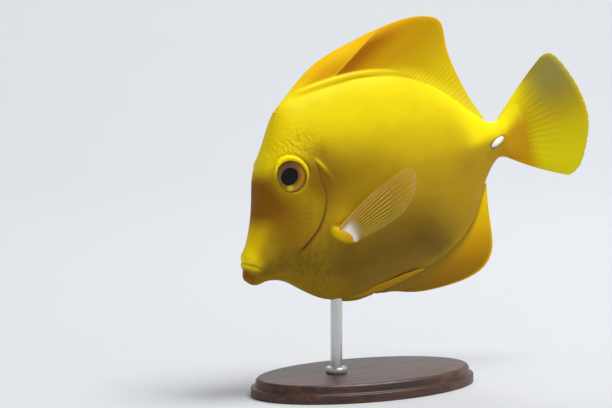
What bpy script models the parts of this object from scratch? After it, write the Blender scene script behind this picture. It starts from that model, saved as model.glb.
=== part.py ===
"""A life-size yellow tang held nose down on a small display stand.

The fish is drawn in its own frame: X runs from the snout to the tail, Y to its right side
and Z to its back, with the body's axis at Z = 0. An empty then tips and lifts the whole fish.
The fish is drawn at 1000 times its size, so that its numbers are in millimetres when it is 150 mm
long, and it is brought to its real size in metres at the end. The stand is drawn in metres.
"""

import math

import bmesh
import bpy
import numpy as np
from mathutils import Euler, Matrix, Vector

MM = 0.001
GAP = 0.3 * MM

# The driving sizes
TOTAL_LENGTH = 150 * MM
NOSE_DOWN = math.radians(16.5)
BELLY_HEIGHT = 30 * MM
UNIT = TOTAL_LENGTH / 150
DRAWN_GAP = GAP / UNIT

# The stand: an oval base with a foot, a step in from its edge and a rounded top, and a rod that is
# cut to the belly's shape after it has been drawn a little way into it
BASE_LENGTH, BASE_WIDTH, BASE_HEIGHT = 84 * MM, 48 * MM, 6 * MM
FOOT_HEIGHT, FOOT_EDGE = 3 * MM, 0.5 * MM
TOP_INSET, TOP_ROUND, ROUND_STEPS = 1.6 * MM, 1.4 * MM, 3
BASE_SIDES, ROD_SIDES = 40, 20
ROD_RADIUS, ROD_INTO_BELLY = 2 * MM, 6 * MM

# The ribs of the body from the mouth to the tail. Each is a closed section that hangs from the back
# to the belly: along and up at the back, along and up at the belly, half width, and the leanness
# towards the back and the belly, where 1 is an ellipse and more is a sharper edge.
RIBS = {
    "mouth": (2.2, -5.2, 1.2, -13.0, 2.0, 0.9, 0.9),
    "lips": (3.3, -3.2, 3.2, -14.9, 2.9, 0.9, 0.9),
    "snout": (5.4, -0.4, 7.2, -15.8, 4.2, 0.9, 0.9),
    "muzzle": (9.0, 6.2, 12.2, -17.4, 5.8, 0.85, 0.9),
    "cheek": (12.0, 13.8, 16.8, -21.0, 7.2, 0.8, 0.95),
    "brow": (14.9, 20.6, 21.0, -25.0, 8.2, 0.8, 1.0),
    "crown": (20.0, 27.6, 25.6, -28.7, 8.9, 0.85, 1.05),
    "nape": (27.0, 36.4, 31.5, -31.8, 9.3, 1.0, 1.1),
    "shoulder": (38.0, 38.2, 40.0, -34.4, 9.6, 1.15, 1.15),
    "middle": (54.0, 38.2, 54.0, -33.9, 9.4, 1.2, 1.2),
    "loin": (68.0, 36.0, 68.0, -33.2, 8.6, 1.2, 1.2),
    "flank": (80.0, 31.2, 80.0, -30.6, 7.4, 1.2, 1.2),
    "rump": (91.0, 23.2, 91.0, -24.2, 5.9, 1.15, 1.15),
    "stalk front": (100.0, 13.4, 99.2, -13.4, 4.3, 1.05, 1.05),
    "stalk": (107.2, 6.9, 106.6, -6.7, 3.1, 1.0, 1.0),
    "tail root": (111.8, 7.2, 111.2, -7.3, 2.4, 1.0, 1.0),
    "tail end": (117.0, 9.8, 116.6, -9.9, 0.9, 1.0, 1.0),
}
BODY_RINGS, BODY_SIDES = 64, 28

# How far along the upright cuts lie that part the head, the trunk and the tail stalk
GILL_CUT, STALK_CUT = 28.7, 101.5

# The eye: its middle, the radius and depth of the ball and how far its middle is sunk in the head,
# the fleshy ring round it, which sits higher and so is thickest over the eye, and the swelling there
EYE_ALONG, EYE_UP = 21.9, 16.0
EYE_RADIUS, EYE_DEPTH, EYE_SUNK = 5.1, 2.6, 1.2
EYE_RING, EYE_RING_THICK, EYE_RING_LIFT = 5.4, 0.95, 0.8
BROW_SWELL, BROW_REACH = 1.3, 6.3

# The mouth: a thin gape that slants down from the front, given where its line would meet the very
# front of the fish, and three rolls of flesh: how far back the front of each lies, how far its
# middle lies over the gape, in its own radii, its radius, and how far it spreads to each side
GAPE_UP, GAPE_SLANT = -6.25, math.radians(35)
GAPE_REACH, GAPE_LEAD, GAPE_WIDTH, GAPE_HEIGHT, GAPE_REAR_HEIGHT = 5.2, 1.5, 12.0, 0.4, 0.13
MOUTH_ROLLS = {
    "upper lip": (1.2, 1.05, 2.0, 2.7),
    "lower lip": (1.3, -1.12, 0.85, 2.7),
    "chin": (0.0, -2.0, 2.0, 1.9),
}
ROLL_STEPS, ROLL_TAPER = 5, 0.45
# Two nostrils before each eye, each as along, up and radius
NOSTRILS = ((13.4, 9.2, 0.5), (14.8, 10.1, 0.4))
NOSTRIL_DEPTH, NOSTRIL_STRETCH = 0.9, 1.3

# The gill cover, from its top down: along and up at its front, then at its free edge
GILL_COVER = (
    (28.9, 18.4, 31.2, 19.2),
    (26.6, 10.0, 32.0, 11.5),
    (23.6, 4.2, 31.4, 4.5),
    (19.8, 0.6, 28.4, -1.4),
    (15.8, -2.8, 22.6, -6.0),
    (12.8, -6.4, 16.8, -9.4),
)
GILL_LENGTH, GILL_STEPS, GILL_BACK_STEPS = 30.0, 12, 5
# How deep the plate goes, how proud it stands at its front and how much more at its free edge, and
# how far out the room for it is cut
GILL_DEPTH, GILL_PROUD, GILL_LIFT, GILL_ROOM = 1.1, 0.06, 0.55, 3.0

# Guide rays of the fins. Dorsal and anal fins: along at the root, then along and up at the tip
DORSAL = (
    (29.6, 31.0, 40.4),
    (36.0, 43.5, 45.6),
    (45.0, 59.0, 48.8),
    (54.7, 74.0, 50.9),
    (61.0, 85.0, 51.4),
    (66.7, 93.4, 48.6),
    (72.0, 96.4, 43.2),
    (80.0, 97.0, 35.4),
    (90.0, 99.4, 24.6),
    (98.0, 102.6, 15.2),
    (104.0, 106.0, 8.2),
)
ANAL = (
    (46.0, 50.0, -35.8),
    (53.0, 61.0, -39.8),
    (60.0, 73.0, -42.5),
    (66.0, 83.5, -43.2),
    (71.0, 91.4, -41.4),
    (76.0, 95.6, -36.8),
    (82.0, 97.0, -31.0),
    (90.0, 98.2, -22.4),
    (98.0, 100.4, -13.2),
)
# Tail fin: along and up at the root, then along and up at the tip
TAIL = (
    (109.5, 5.5, 136.6, 22.3),
    (110.2, 4.5, 141.2, 22.0),
    (110.9, 3.2, 145.2, 16.6),
    (111.4, 1.6, 148.2, 9.5),
    (111.6, 0.0, 150.0, 1.8),
    (111.4, -1.6, 149.7, -5.6),
    (110.8, -3.2, 146.5, -12.6),
    (110.0, -4.5, 141.0, -19.8),
    (109.0, -5.6, 134.9, -21.8),
)
# Paired fins: the root, then the tip, each as along, out from the flank, up
PECTORAL = (
    ((33.6, 1.2, -5.4), (58.0, 4.8, 5.4)),
    ((34.0, 1.2, -6.8), (63.0, 5.2, 5.8)),
    ((34.8, 1.2, -8.2), (64.2, 5.2, 1.4)),
    ((35.8, 1.2, -9.5), (61.6, 4.8, -4.0)),
    ((37.0, 1.2, -10.7), (56.2, 4.3, -8.1)),
    ((38.2, 1.2, -12.0), (48.4, 3.5, -10.3)),
)
PECTORAL_LOBE, LOBE_SIZE, LOBE_TILT = (35.0, -8.7), (6.1, 2.3, 1.9), math.radians(37)
LOBE_PROUD = 0.2
PELVIC = (
    ((34.6, 2.2, -31.6), (65.4, 2.9, -32.3)),
    ((35.8, 1.9, -31.2), (65.0, 2.5, -31.0)),
    ((37.0, 1.6, -30.8), (61.4, 2.2, -29.8)),
    ((38.2, 1.5, -30.4), (55.0, 2.0, -29.2)),
)
# How deep each root is sunk and how thick it is, the number of rays, and the rows of faces out to
# the margin
SINK = {"dorsal": 2.4, "anal": 2.4, "pectoral": 0.9, "pelvic": 1.8}
ROOT_THICK = {"dorsal": 2.2, "anal": 2.2, "tail": 2.2, "pectoral": 1.4, "pelvic": 1.2}
RAYS = {"dorsal": 27, "anal": 22, "tail": 18, "pectoral": 14, "pelvic": 6}
ROWS = {"dorsal": 5, "anal": 4, "tail": 5, "pectoral": 4, "pelvic": 5}
RAY_THICK, MEMBRANE_THICK, MARGIN_THICK = 0.9, 0.5, 0.32
# How far from a ray, as a share of the way to the next, its ridge comes down to the membrane
RAY_FLANK = 0.3
# How far the margins sway to the left, less than 0, or the right: the dorsal fin at two places, each
# with its share of the fin's length and its reach, the anal fin as a wave, the tail fin from its top
# to its bottom. A ray bends more and more towards its tip, and the tail's outer rays bow outwards.
DORSAL_SWAYS = ((3.4, 0.22, 0.12), (-3.6, 0.47, 0.15))
ANAL_SWAY, TAIL_SWAY, SWAY_POWER = 1.2, 1.6, 1.4
TAIL_BOW = 0.9
# How far the first ray of a paired fin bows upwards, and those behind it less and less
PAIRED_BOW = {"pectoral": 1.7, "pelvic": 0.0}

# The white spine on each side of the tail stalk
SPINE_MIDDLE, SPINE_SIZE, SPINE_TILT = (106.6, 0.0), (3.3, 0.95, 1.15), math.radians(14)
SPINE_PROUD = 0.25

# Segments and rings of the balls
EYE_FACES, LOBE_FACES, SPINE_FACES, NOSTRIL_FACES = (20, 10), (16, 10), (12, 8), (8, 6)
RING_FACES = (22, 6)
# Edges sharper than these stay sharp
BODY_SHARP, FIN_SHARP = math.radians(35), math.radians(50)

# Where the fish stands over the middle of the base, and where the rod meets its belly
BALANCE_ALONG, ROD_ALONG = 52.0, 31.0

SKIN = ("skin", (0.86, 0.66, 0.02), 0.42, 0.0)
FIN = ("fin membrane", (0.88, 0.62, 0.02), 0.38, 0.0)
CLEAR_FIN = ("pectoral membrane", (0.86, 0.74, 0.36), 0.35, 0.0)
EYE = ("eye", (0.03, 0.025, 0.02), 0.08, 0.0)
SPINE = ("spine sheath", (0.92, 0.92, 0.95), 0.4, 0.0)
WOOD = ("walnut", (0.10, 0.05, 0.03), 0.45, 0.0)
STEEL = ("brushed steel", (0.62, 0.62, 0.60), 0.3, 1.0)


def clear_scene():
    for obj in list(bpy.data.objects):
        bpy.data.objects.remove(obj)


def new_collection(name):
    group = bpy.data.collections.new(name)
    bpy.context.scene.collection.children.link(group)
    return group


def finish_material(name, colour, roughness, metallic):
    material = bpy.data.materials.get(name) or bpy.data.materials.new(name)
    material.use_nodes = True
    shader = material.node_tree.nodes["Principled BSDF"]
    shader.inputs["Base Color"].default_value = (*colour, 1.0)
    shader.inputs["Roughness"].default_value = roughness
    shader.inputs["Metallic"].default_value = metallic
    return material


def smooth_curve(rows):
    """The natural cubic curve through rows, as a function of 0 at the first row, 1 at the next."""
    points = np.array(rows, float)
    count = len(points)
    system = np.eye(count)
    right = np.zeros_like(points)
    for i in range(1, count - 1):
        system[i, i - 1 : i + 2] = (1, 4, 1)
        right[i] = 6 * (points[i - 1] - 2 * points[i] + points[i + 1])
    bend = np.linalg.solve(system, right)

    def at(t):
        i = min(max(int(t), 0), count - 2)
        b = t - i
        a = 1 - b
        cubic = (a**3 - a) * bend[i] + (b**3 - b) * bend[i + 1]
        return a * points[i] + b * points[i + 1] + cubic / 6

    return at


rib_at = smooth_curve(list(RIBS.values()))
LAST_RIB = len(RIBS) - 1


def back_at(along):
    """Where the back stands at this distance from the snout, as (along, up)."""
    low, high = 0.0, float(LAST_RIB)
    for _ in range(40):
        middle = (low + high) / 2
        if rib_at(middle)[0] < along:
            low = middle
        else:
            high = middle
    return rib_at(low)[0:2]


def belly_at(along):
    """Where the belly hangs at this distance from the snout, as (along, up)."""
    low, high = 0.0, float(LAST_RIB)
    for _ in range(40):
        middle = (low + high) / 2
        if rib_at(middle)[2] < along:
            low = middle
        else:
            high = middle
    return rib_at(low)[2:4]


def half_width(rib, share):
    """Half the body's width on a rib, where share is -1 at the belly, 0 halfway up and 1 at the back."""
    lean = rib[5] if share > 0 else rib[6]
    return rib[4] * max(0.0, 1 - share * share) ** (lean / 2)


def swelling(along, up):
    """How much the orbit swells the side of the head."""
    away = ((along - EYE_ALONG) ** 2 + (up - EYE_UP) ** 2) / BROW_REACH**2
    return BROW_SWELL * math.exp(-away)


def flank_at(along, up):
    """Half the width of the body at a point of its side view."""
    low, high = 0.0, float(LAST_RIB)
    for _ in range(40):
        middle = (low + high) / 2
        rib = rib_at(middle)
        turn = (rib[0] - rib[2]) * (up - rib[3]) - (rib[1] - rib[3]) * (along - rib[2])
        if turn < 0:
            low = middle
        else:
            high = middle
    rib = rib_at(low)
    height = math.hypot(rib[0] - rib[2], rib[1] - rib[3])
    from_belly = math.hypot(along - rib[2], up - rib[3])
    share = min(1.0, max(-1.0, 2 * from_belly / height - 1))
    return half_width(rib, share) + swelling(along, up)


def body_point(position, angle, grow):
    """A point of the skin on the rib at this position, angle 0 at the belly and pi at the back."""
    rib = rib_at(position)
    share = -math.cos(angle)
    along = (rib[0] + rib[2]) / 2 + share * (rib[0] - rib[2]) / 2
    up = (rib[1] + rib[3]) / 2 + share * (rib[1] - rib[3]) / 2
    side = math.sin(angle)
    out = half_width(rib, share) + swelling(along, up) * abs(side)
    up += grow * share
    along += grow * (2 * position / LAST_RIB - 1)
    return Vector((along, math.copysign(out + grow * abs(side), side), up))


def add_object(name, mesh, material, group):
    obj = bpy.data.objects.new(name, mesh)
    mesh.materials.append(finish_material(*material))
    group.objects.link(obj)
    return obj


def bent_grid(columns, rows, place):
    """A grid of faces whose corners go where place(column share, row share) says."""
    shape = bmesh.new()
    bmesh.ops.create_grid(shape, x_segments=columns, y_segments=rows, size=0.5)
    for corner in shape.verts:
        corner.co = place(corner.co.x + 0.5, corner.co.y + 0.5)
    return shape


def body_shape(grow=0.0):
    """The whole body as one closed form, in millimetres."""

    def place(along, around):
        return body_point(along * LAST_RIB, around * 2 * math.pi, grow)

    shape = bent_grid(BODY_RINGS, BODY_SIDES, place)
    bmesh.ops.remove_doubles(shape, verts=shape.verts, dist=0.001)
    open_edges = [edge for edge in shape.edges if edge.is_boundary]
    bmesh.ops.holes_fill(shape, edges=open_edges, sides=0)
    bmesh.ops.recalc_face_normals(shape, faces=shape.faces)
    return shape


def slice_off(shape, along, keep_front):
    """Cuts the form on an upright plane across the body, half a gap away, and closes the cut."""
    facing = Vector((1 if keep_front else -1, 0, 0))
    middle = Vector((along, 0, 0)) - facing * DRAWN_GAP / 2
    parts = list(shape.verts) + list(shape.edges) + list(shape.faces)
    bmesh.ops.bisect_plane(
        shape, geom=parts, dist=1e-5, plane_co=middle, plane_no=facing, clear_outer=True
    )
    open_edges = [edge for edge in shape.edges if edge.is_boundary]
    bmesh.ops.holes_fill(shape, edges=open_edges, sides=0)
    bmesh.ops.recalc_face_normals(shape, faces=shape.faces)


def mesh_from(shape, name):
    """Turns a form into a mesh and frees it."""
    mesh = bpy.data.meshes.new(name)
    shape.to_mesh(mesh)
    shape.free()
    return mesh


def smooth(obj, angle=BODY_SHARP):
    obj.data.shade_smooth()
    obj.data.set_sharp_from_angle(angle=angle)


def baked(obj):
    """Replaces the object's mesh by what its modifiers make, and keeps its largest closed surface."""
    graph = bpy.context.evaluated_depsgraph_get()
    mesh = bpy.data.meshes.new_from_object(obj.evaluated_get(graph))
    obj.modifiers.clear()
    shape = bmesh.new()
    shape.from_mesh(mesh)
    left = set(shape.verts)
    pieces = []
    while left:
        seed = left.pop()
        piece, edge_of_piece = {seed}, [seed]
        while edge_of_piece:
            corner = edge_of_piece.pop()
            for edge in corner.link_edges:
                other = edge.other_vert(corner)
                if other in left:
                    left.remove(other)
                    piece.add(other)
                    edge_of_piece.append(other)
        pieces.append(piece)
    pieces.sort(key=len)
    for piece in pieces[:-1]:
        bmesh.ops.delete(shape, geom=list(piece), context="VERTS")
    shape.to_mesh(mesh)
    shape.free()
    obj.data = mesh
    return obj


def combine(obj, others, operation, solver="EXACT"):
    """Joins others to the object, or cuts them from it, and removes them."""
    group = bpy.data.collections.new(obj.name + " " + operation.lower())
    for other in others:
        for old in list(other.users_collection):
            old.objects.unlink(other)
        group.objects.link(other)
    bpy.context.scene.collection.children.link(group)
    step = obj.modifiers.new(operation.title(), "BOOLEAN")
    step.operation = operation
    step.solver = solver
    step.operand_type = "COLLECTION"
    step.collection = group
    bpy.context.view_layer.update()
    baked(obj)
    for other in others:
        bpy.data.objects.remove(other)
    bpy.data.collections.remove(group)
    return obj


def cut_clear(obj, cutters, solver="EXACT"):
    """Trims the object where it would enter its neighbours, which stand in cutters with the gap added."""
    for cutter in cutters:
        step = obj.modifiers.new("Clear of " + cutter.name, "BOOLEAN")
        step.operation = "DIFFERENCE"
        step.solver = solver
        step.object = cutter
    bpy.context.view_layer.update()
    return baked(obj)


def ball(name, middle, radii, turn, faces, material, group):
    """A closed ball stretched to radii, turned and moved, all in millimetres."""
    shape = bmesh.new()
    bmesh.ops.create_uvsphere(shape, u_segments=faces[0], v_segments=faces[1], radius=1)
    place = Matrix.Translation(middle) @ turn.to_matrix().to_4x4() @ Matrix.Diagonal((*radii, 1))
    bmesh.ops.transform(shape, matrix=place, verts=shape.verts)
    return add_object(name, mesh_from(shape, name), material, group)


def ring(name, middle, radius, thick, turn, material, group):
    """A ring of flesh with its axis on the turned Z."""
    bpy.ops.mesh.primitive_torus_add(
        major_segments=RING_FACES[0],
        minor_segments=RING_FACES[1],
        major_radius=radius,
        minor_radius=thick,
    )
    made = bpy.context.object
    shape = bmesh.new()
    shape.from_mesh(made.data)
    bpy.data.objects.remove(made)
    place = Matrix.Translation(middle) @ turn.to_matrix().to_4x4()
    bmesh.ops.transform(shape, matrix=place, verts=shape.verts)
    return add_object(name, mesh_from(shape, name), material, group)


def tube(name, points, radii, material, group):
    """A closed tube along points in millimetres, with its own radius at each."""
    line = bpy.data.curves.new(name, "CURVE")
    line.dimensions = "3D"
    line.bevel_depth = 1.0
    line.bevel_resolution = 2
    line.use_fill_caps = True
    run = line.splines.new("POLY")
    run.points.add(len(points) - 1)
    for knot, point, radius in zip(run.points, points, radii):
        knot.co = (*point, 1)
        knot.radius = radius
    curve = bpy.data.objects.new(name + " line", line)
    group.objects.link(curve)
    bpy.context.view_layer.update()
    graph = bpy.context.evaluated_depsgraph_get()
    mesh = bpy.data.meshes.new_from_object(curve.evaluated_get(graph))
    bpy.data.objects.remove(curve)
    shape = bmesh.new()
    shape.from_mesh(mesh)
    bmesh.ops.remove_doubles(shape, verts=shape.verts, dist=0.0001)
    bmesh.ops.recalc_face_normals(shape, faces=shape.faces)
    shape.to_mesh(mesh)
    shape.free()
    mesh.materials.clear()
    return add_object(name, mesh, material, group)


def mouth_roll(name, front, over, thick, spread, group):
    """A roll of flesh round the end of the snout, from one corner of the mouth to the other."""
    points, radii = [], []
    for step in range(-ROLL_STEPS, ROLL_STEPS + 1):
        angle = math.pi / 2 * step / ROLL_STEPS
        radius = thick * (ROLL_TAPER + (1 - ROLL_TAPER) * math.cos(angle) ** 2)
        along = front + thick + (GAPE_REACH - front - thick) * (1 - math.cos(angle))
        gape = GAPE_UP - math.tan(GAPE_SLANT) * along
        up = gape + over * radius / math.cos(GAPE_SLANT)
        points.append((along, spread * math.sin(angle), up))
        radii.append(radius)
    return tube(name, points, radii, SKIN, group)


def fin(name, kind, root_at, tip_at, bend, group, material=FIN):
    """A membrane with ray ridges raised on both faces. root_at and tip_at give the ends of the ray
    at a share of the fin, and bend moves a point of the straight ray to where the real one is."""
    rays, rows, root_thick = RAYS[kind], ROWS[kind], ROOT_THICK[kind]
    # Three columns to a ray: its crest, and the two places where its ridge meets the membrane
    columns = 3 * (rays - 1)

    def share_of(column):
        return (column // 3 + (0, RAY_FLANK, 1 - RAY_FLANK)[column % 3]) / (rays - 1)

    def place(across, out):
        share = share_of(round(across * columns))
        return bend(root_at(share).lerp(tip_at(share), out), share, out)

    shape = bent_grid(columns, rows, place)
    shape.verts.ensure_lookup_table()
    bmesh.ops.triangulate(shape, faces=shape.faces)
    obj = add_object(name, mesh_from(shape, name), material, group)
    weights = obj.vertex_groups.new(name="thickness")
    for index in range(len(obj.data.vertices)):
        column, row = index % (columns + 1), index // (columns + 1)
        ray = RAY_THICK if column % 3 == 0 else MEMBRANE_THICK
        thick = ray + (root_thick - ray) * (1 - row / rows) ** 3
        if row == rows:
            thick = MARGIN_THICK
        weights.add([index], thick / root_thick, "REPLACE")
    wall = obj.modifiers.new("Wall", "SOLIDIFY")
    wall.thickness = root_thick
    wall.offset = 0
    wall.vertex_group = weights.name
    wall.thickness_vertex_group = 0
    bpy.context.view_layer.update()
    return baked(obj)


def leaning(sway):
    """Leans a fin sideways towards its margin by sway at each share of its length."""

    def bend(point, share, out):
        point.y += sway(share) * out**SWAY_POWER
        return point

    return bend


def median_fin(kind, guides, edge_at, sway, group):
    """A fin that stands on the back or the belly, with its root sunk in the body."""
    along_root = smooth_curve([(guide[0],) for guide in guides])
    tips = smooth_curve([guide[1:] for guide in guides])
    last = len(guides) - 1

    def tip_at(share):
        along, up = tips(share * last)
        return Vector((along, 0, up))

    def root_at(share):
        along, up = edge_at(along_root(share * last)[0])
        root = Vector((along, 0, up))
        return root - (tip_at(share) - root).normalized() * SINK[kind]

    return fin(kind + "_fin", kind, root_at, tip_at, leaning(sway), group)


def paired_fin(kind, guides, side, label, material, group):
    """A fin of one side. It follows the flank, at the distance that its guides give."""
    roots = smooth_curve([root for root, _ in guides])
    tips = smooth_curve([tip for _, tip in guides])
    last = len(guides) - 1

    def root_at(share):
        return Vector(roots(share * last)) - Vector((0, SINK[kind], 0))

    def tip_at(share):
        return Vector(tips(share * last))

    def follow_flank(point, share, out):
        spread = 1 - (1 - out) ** 2
        away = root_at(share).lerp(tip_at(share), spread).y
        point.z += PAIRED_BOW[kind] * (1 - share) ** 2 * math.sin(math.pi * out)
        return Vector((point.x, side * (flank_at(point.x, point.z) + away), point.z))

    name = kind + "_fin_" + label
    return fin(name, kind, root_at, tip_at, follow_flank, group, material)


def facing_out(along, up, side):
    """The turn that points Z straight out of the side of the head."""
    step = 1.0
    forward = flank_at(along + step, up) - flank_at(along - step, up)
    upward = flank_at(along, up + step) - flank_at(along, up - step)
    return Vector((-forward / 2, side * step, -upward / 2)).to_track_quat("Z", "Y")


def make_eyes(group):
    """Both eyeballs, and the sockets and rings that the head needs for them."""
    eyes, sockets, rings = [], [], []
    for side, label in ((-1, "left"), (1, "right")):
        facing = facing_out(EYE_ALONG, EYE_UP, side)
        surface = Vector((EYE_ALONG, side * flank_at(EYE_ALONG, EYE_UP), EYE_UP))
        middle = surface - facing @ Vector((0, 0, EYE_SUNK))
        radii = (EYE_RADIUS, EYE_RADIUS, EYE_DEPTH)
        room = [radius + DRAWN_GAP for radius in radii]
        eyes.append(ball("eye_" + label, middle, radii, facing, EYE_FACES, EYE, group))
        sockets.append(ball("socket " + label, middle, room, facing, EYE_FACES, EYE, group))
        ring_up = EYE_UP + EYE_RING_LIFT
        lifted = Vector((EYE_ALONG, side * flank_at(EYE_ALONG, ring_up), ring_up))
        rings.append(
            ring("ring " + label, lifted, EYE_RING, EYE_RING_THICK, facing, SKIN, group)
        )
    return eyes, sockets, rings


def make_nostrils(group):
    pits = []
    for side in (-1, 1):
        for along, up, radius in NOSTRILS:
            middle = Vector((along, side * flank_at(along, up), up))
            radii = (radius, NOSTRIL_DEPTH, radius * NOSTRIL_STRETCH)
            turn = Euler((0, 0, 0)).to_quaternion()
            pits.append(ball("nostril", middle, radii, turn, NOSTRIL_FACES, SKIN, group))
    return pits


def make_gape(group):
    """The thin wedge that parts the lips."""
    shape = bmesh.new()
    bmesh.ops.create_cube(shape, size=1)
    for corner in shape.verts:
        thick = GAPE_HEIGHT if corner.co.x < 0 else GAPE_REAR_HEIGHT
        corner.co.x = (corner.co.x + 0.5) * (GAPE_REACH + GAPE_LEAD) - GAPE_LEAD
        corner.co.y *= GAPE_WIDTH
        corner.co.z = GAPE_UP + corner.co.z * thick - math.tan(GAPE_SLANT) * corner.co.x
    return add_object("gape", mesh_from(shape, "gape"), SKIN, group)


def gill_cover(name, side, margin, inner, outer, group):
    """A curved plate on the side of the head. Its free edge lifts off the body behind it."""
    edge = smooth_curve(GILL_COVER)
    last = len(GILL_COVER) - 1

    def surface(down, back, depth):
        front_along, front_up, free_along, free_up = edge(down * last)
        reach = Vector((free_along - front_along, free_up - front_up))
        grown = reach.normalized() * margin
        start = Vector((front_along, front_up)) - grown
        point = start + (reach + 2 * grown) * back
        lift = 0.0 if depth < 0 else GILL_LIFT * back * back
        out = flank_at(point.x, point.y) + depth + lift
        return Vector((point.x, side * out, point.y))

    # Round the plate's section: back along its face, then forward again under it
    section_steps = 2 * GILL_BACK_STEPS + 2
    over = margin / GILL_LENGTH

    def place(across, around):
        down = -over + across * (1 + 2 * over)
        turn = round(around * section_steps) % section_steps
        if turn <= GILL_BACK_STEPS:
            return surface(down, turn / GILL_BACK_STEPS, outer)
        return surface(down, (section_steps - 1 - turn) / GILL_BACK_STEPS, inner)

    shape = bent_grid(GILL_STEPS, section_steps, place)
    bmesh.ops.remove_doubles(shape, verts=shape.verts, dist=0.0001)
    open_edges = [line for line in shape.edges if line.is_boundary]
    bmesh.ops.holes_fill(shape, edges=open_edges, sides=0)
    bmesh.ops.triangulate(shape, faces=shape.faces)
    bmesh.ops.recalc_face_normals(shape, faces=shape.faces)
    return add_object(name, mesh_from(shape, name), SKIN, group)


def make_body(group):
    """The head, the trunk and the tail stalk, parted by thin cuts."""
    shapes = {"head": body_shape(), "trunk": body_shape(), "tail_stalk": body_shape()}
    slice_off(shapes["head"], GILL_CUT, keep_front=True)
    slice_off(shapes["trunk"], GILL_CUT, keep_front=False)
    slice_off(shapes["trunk"], STALK_CUT, keep_front=True)
    slice_off(shapes["tail_stalk"], STALK_CUT, keep_front=False)
    return {
        name: add_object(name, mesh_from(shape, name), SKIN, group)
        for name, shape in shapes.items()
    }


def dorsal_sway(share):
    return sum(size * math.exp(-(((share - at) / reach) ** 2)) for size, at, reach in DORSAL_SWAYS)


def anal_sway(share):
    return ANAL_SWAY * math.sin(2 * math.pi * share)


def tail_fin(group):
    guide_at = smooth_curve(TAIL)
    last = len(TAIL) - 1

    def root_at(share):
        along, up = guide_at(share * last)[0:2]
        return Vector((along, 0, up))

    def tip_at(share):
        along, up = guide_at(share * last)[2:4]
        return Vector((along, 0, up))

    def bend(point, share, out):
        point.y += TAIL_SWAY * math.cos(math.pi * share) * out**SWAY_POWER
        point.z += TAIL_BOW * (1 - 2 * share) ** 3 * math.sin(math.pi * out)
        return point

    return fin("tail_fin", "tail", root_at, tip_at, bend, group)


def make_fins(group, grown_body):
    """All seven fins, each cut clear of the body that it grows from."""
    fins = [
        median_fin("dorsal", DORSAL, back_at, dorsal_sway, group),
        median_fin("anal", ANAL, belly_at, anal_sway, group),
        tail_fin(group),
    ]
    for obj in fins:
        cut_clear(obj, [grown_body])
    for side, label in ((-1, "left"), (1, "right")):
        blade = paired_fin("pectoral", PECTORAL, side, label, CLEAR_FIN, group)
        along, up = PECTORAL_LOBE
        turn = Euler((0, LOBE_TILT, 0)).to_quaternion()
        middle = Vector((along, side * (flank_at(along, up) + LOBE_PROUD), up))
        lobe = ball("lobe " + label, middle, LOBE_SIZE, turn, LOBE_FACES, SKIN, group)
        combine(blade, [lobe], "UNION", "MANIFOLD")
        fins.append(cut_clear(blade, [grown_body], "MANIFOLD"))
        blade = paired_fin("pelvic", PELVIC, side, label, FIN, group)
        fins.append(cut_clear(blade, [grown_body], "MANIFOLD"))
    for obj in fins:
        smooth(obj, FIN_SHARP)
    return fins


def make_spines(group):
    """The spine on each side of the tail stalk, and the grooves that they lie in."""
    spines, grooves = [], []
    room = [radius + DRAWN_GAP for radius in SPINE_SIZE]
    for side, label in ((-1, "left"), (1, "right")):
        along, up = SPINE_MIDDLE
        middle = Vector((along, side * (flank_at(along, up) + SPINE_PROUD), up))
        turn = Euler((0, -SPINE_TILT, 0)).to_quaternion()
        name = "tail_spine_" + label
        spines.append(ball(name, middle, SPINE_SIZE, turn, SPINE_FACES, SPINE, group))
        grooves.append(ball("groove " + label, middle, room, turn, SPINE_FACES, SPINE, group))
    return spines, grooves


def lift_of_axis():
    """How high the axis stands at the snout, so that the belly hangs over the floor as it should."""
    depths = []
    for step in range(10 * LAST_RIB):
        rib = rib_at(step / 10)
        depths.append(rib[2] * math.sin(NOSE_DOWN) + rib[3] * math.cos(NOSE_DOWN))
    return BELLY_HEIGHT - min(depths) * UNIT


def make_fish():
    group = new_collection("yellow_tang")
    helpers = new_collection("helpers")
    grown_body = add_object(
        "grown body", mesh_from(body_shape(DRAWN_GAP), "grown body"), SKIN, helpers
    )
    body = make_body(group)
    eyes, sockets, rings = make_eyes(group)
    rolls = [mouth_roll(name, *sizes, group) for name, sizes in MOUTH_ROLLS.items()]
    combine(body["head"], rings + rolls, "UNION")
    covers, recesses = [], []
    for side, label in ((-1, "left"), (1, "right")):
        name = "gill_cover_" + label
        covers.append(gill_cover(name, side, 0.0, -GILL_DEPTH, GILL_PROUD, group))
        inner = -GILL_DEPTH - DRAWN_GAP
        recess = gill_cover("recess " + label, side, DRAWN_GAP, inner, GILL_ROOM, helpers)
        recesses.append(recess)
    cut_clear(body["trunk"], recesses)
    pits = make_nostrils(group)
    combine(body["head"], sockets + pits + [make_gape(group)] + recesses, "DIFFERENCE")
    fins = make_fins(group, grown_body)
    spines, grooves = make_spines(group)
    combine(body["tail_stalk"], grooves, "DIFFERENCE")
    for obj in [*body.values(), *eyes, *covers, *spines]:
        smooth(obj)
    pieces = [*body.values(), *eyes, *covers, *fins, *spines, grown_body]
    for obj in pieces:
        obj.data.transform(Matrix.Scale(UNIT, 4))
    grown_body.hide_render = True
    grown_body.display_type = "WIRE"
    return pieces, grown_body


def pose_fish(pieces):
    """Tips the fish nose down over the middle of the stand."""
    pose = bpy.data.objects.new("fish_pose", None)
    bpy.context.scene.collection.objects.link(pose)
    balance_along = BALANCE_ALONG * UNIT
    pose.rotation_euler = (0, -NOSE_DOWN, 0)
    pose.location = (-balance_along * math.cos(NOSE_DOWN), 0, lift_of_axis())
    for obj in pieces:
        obj.parent = pose
    bpy.context.view_layer.update()
    return pose


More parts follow.
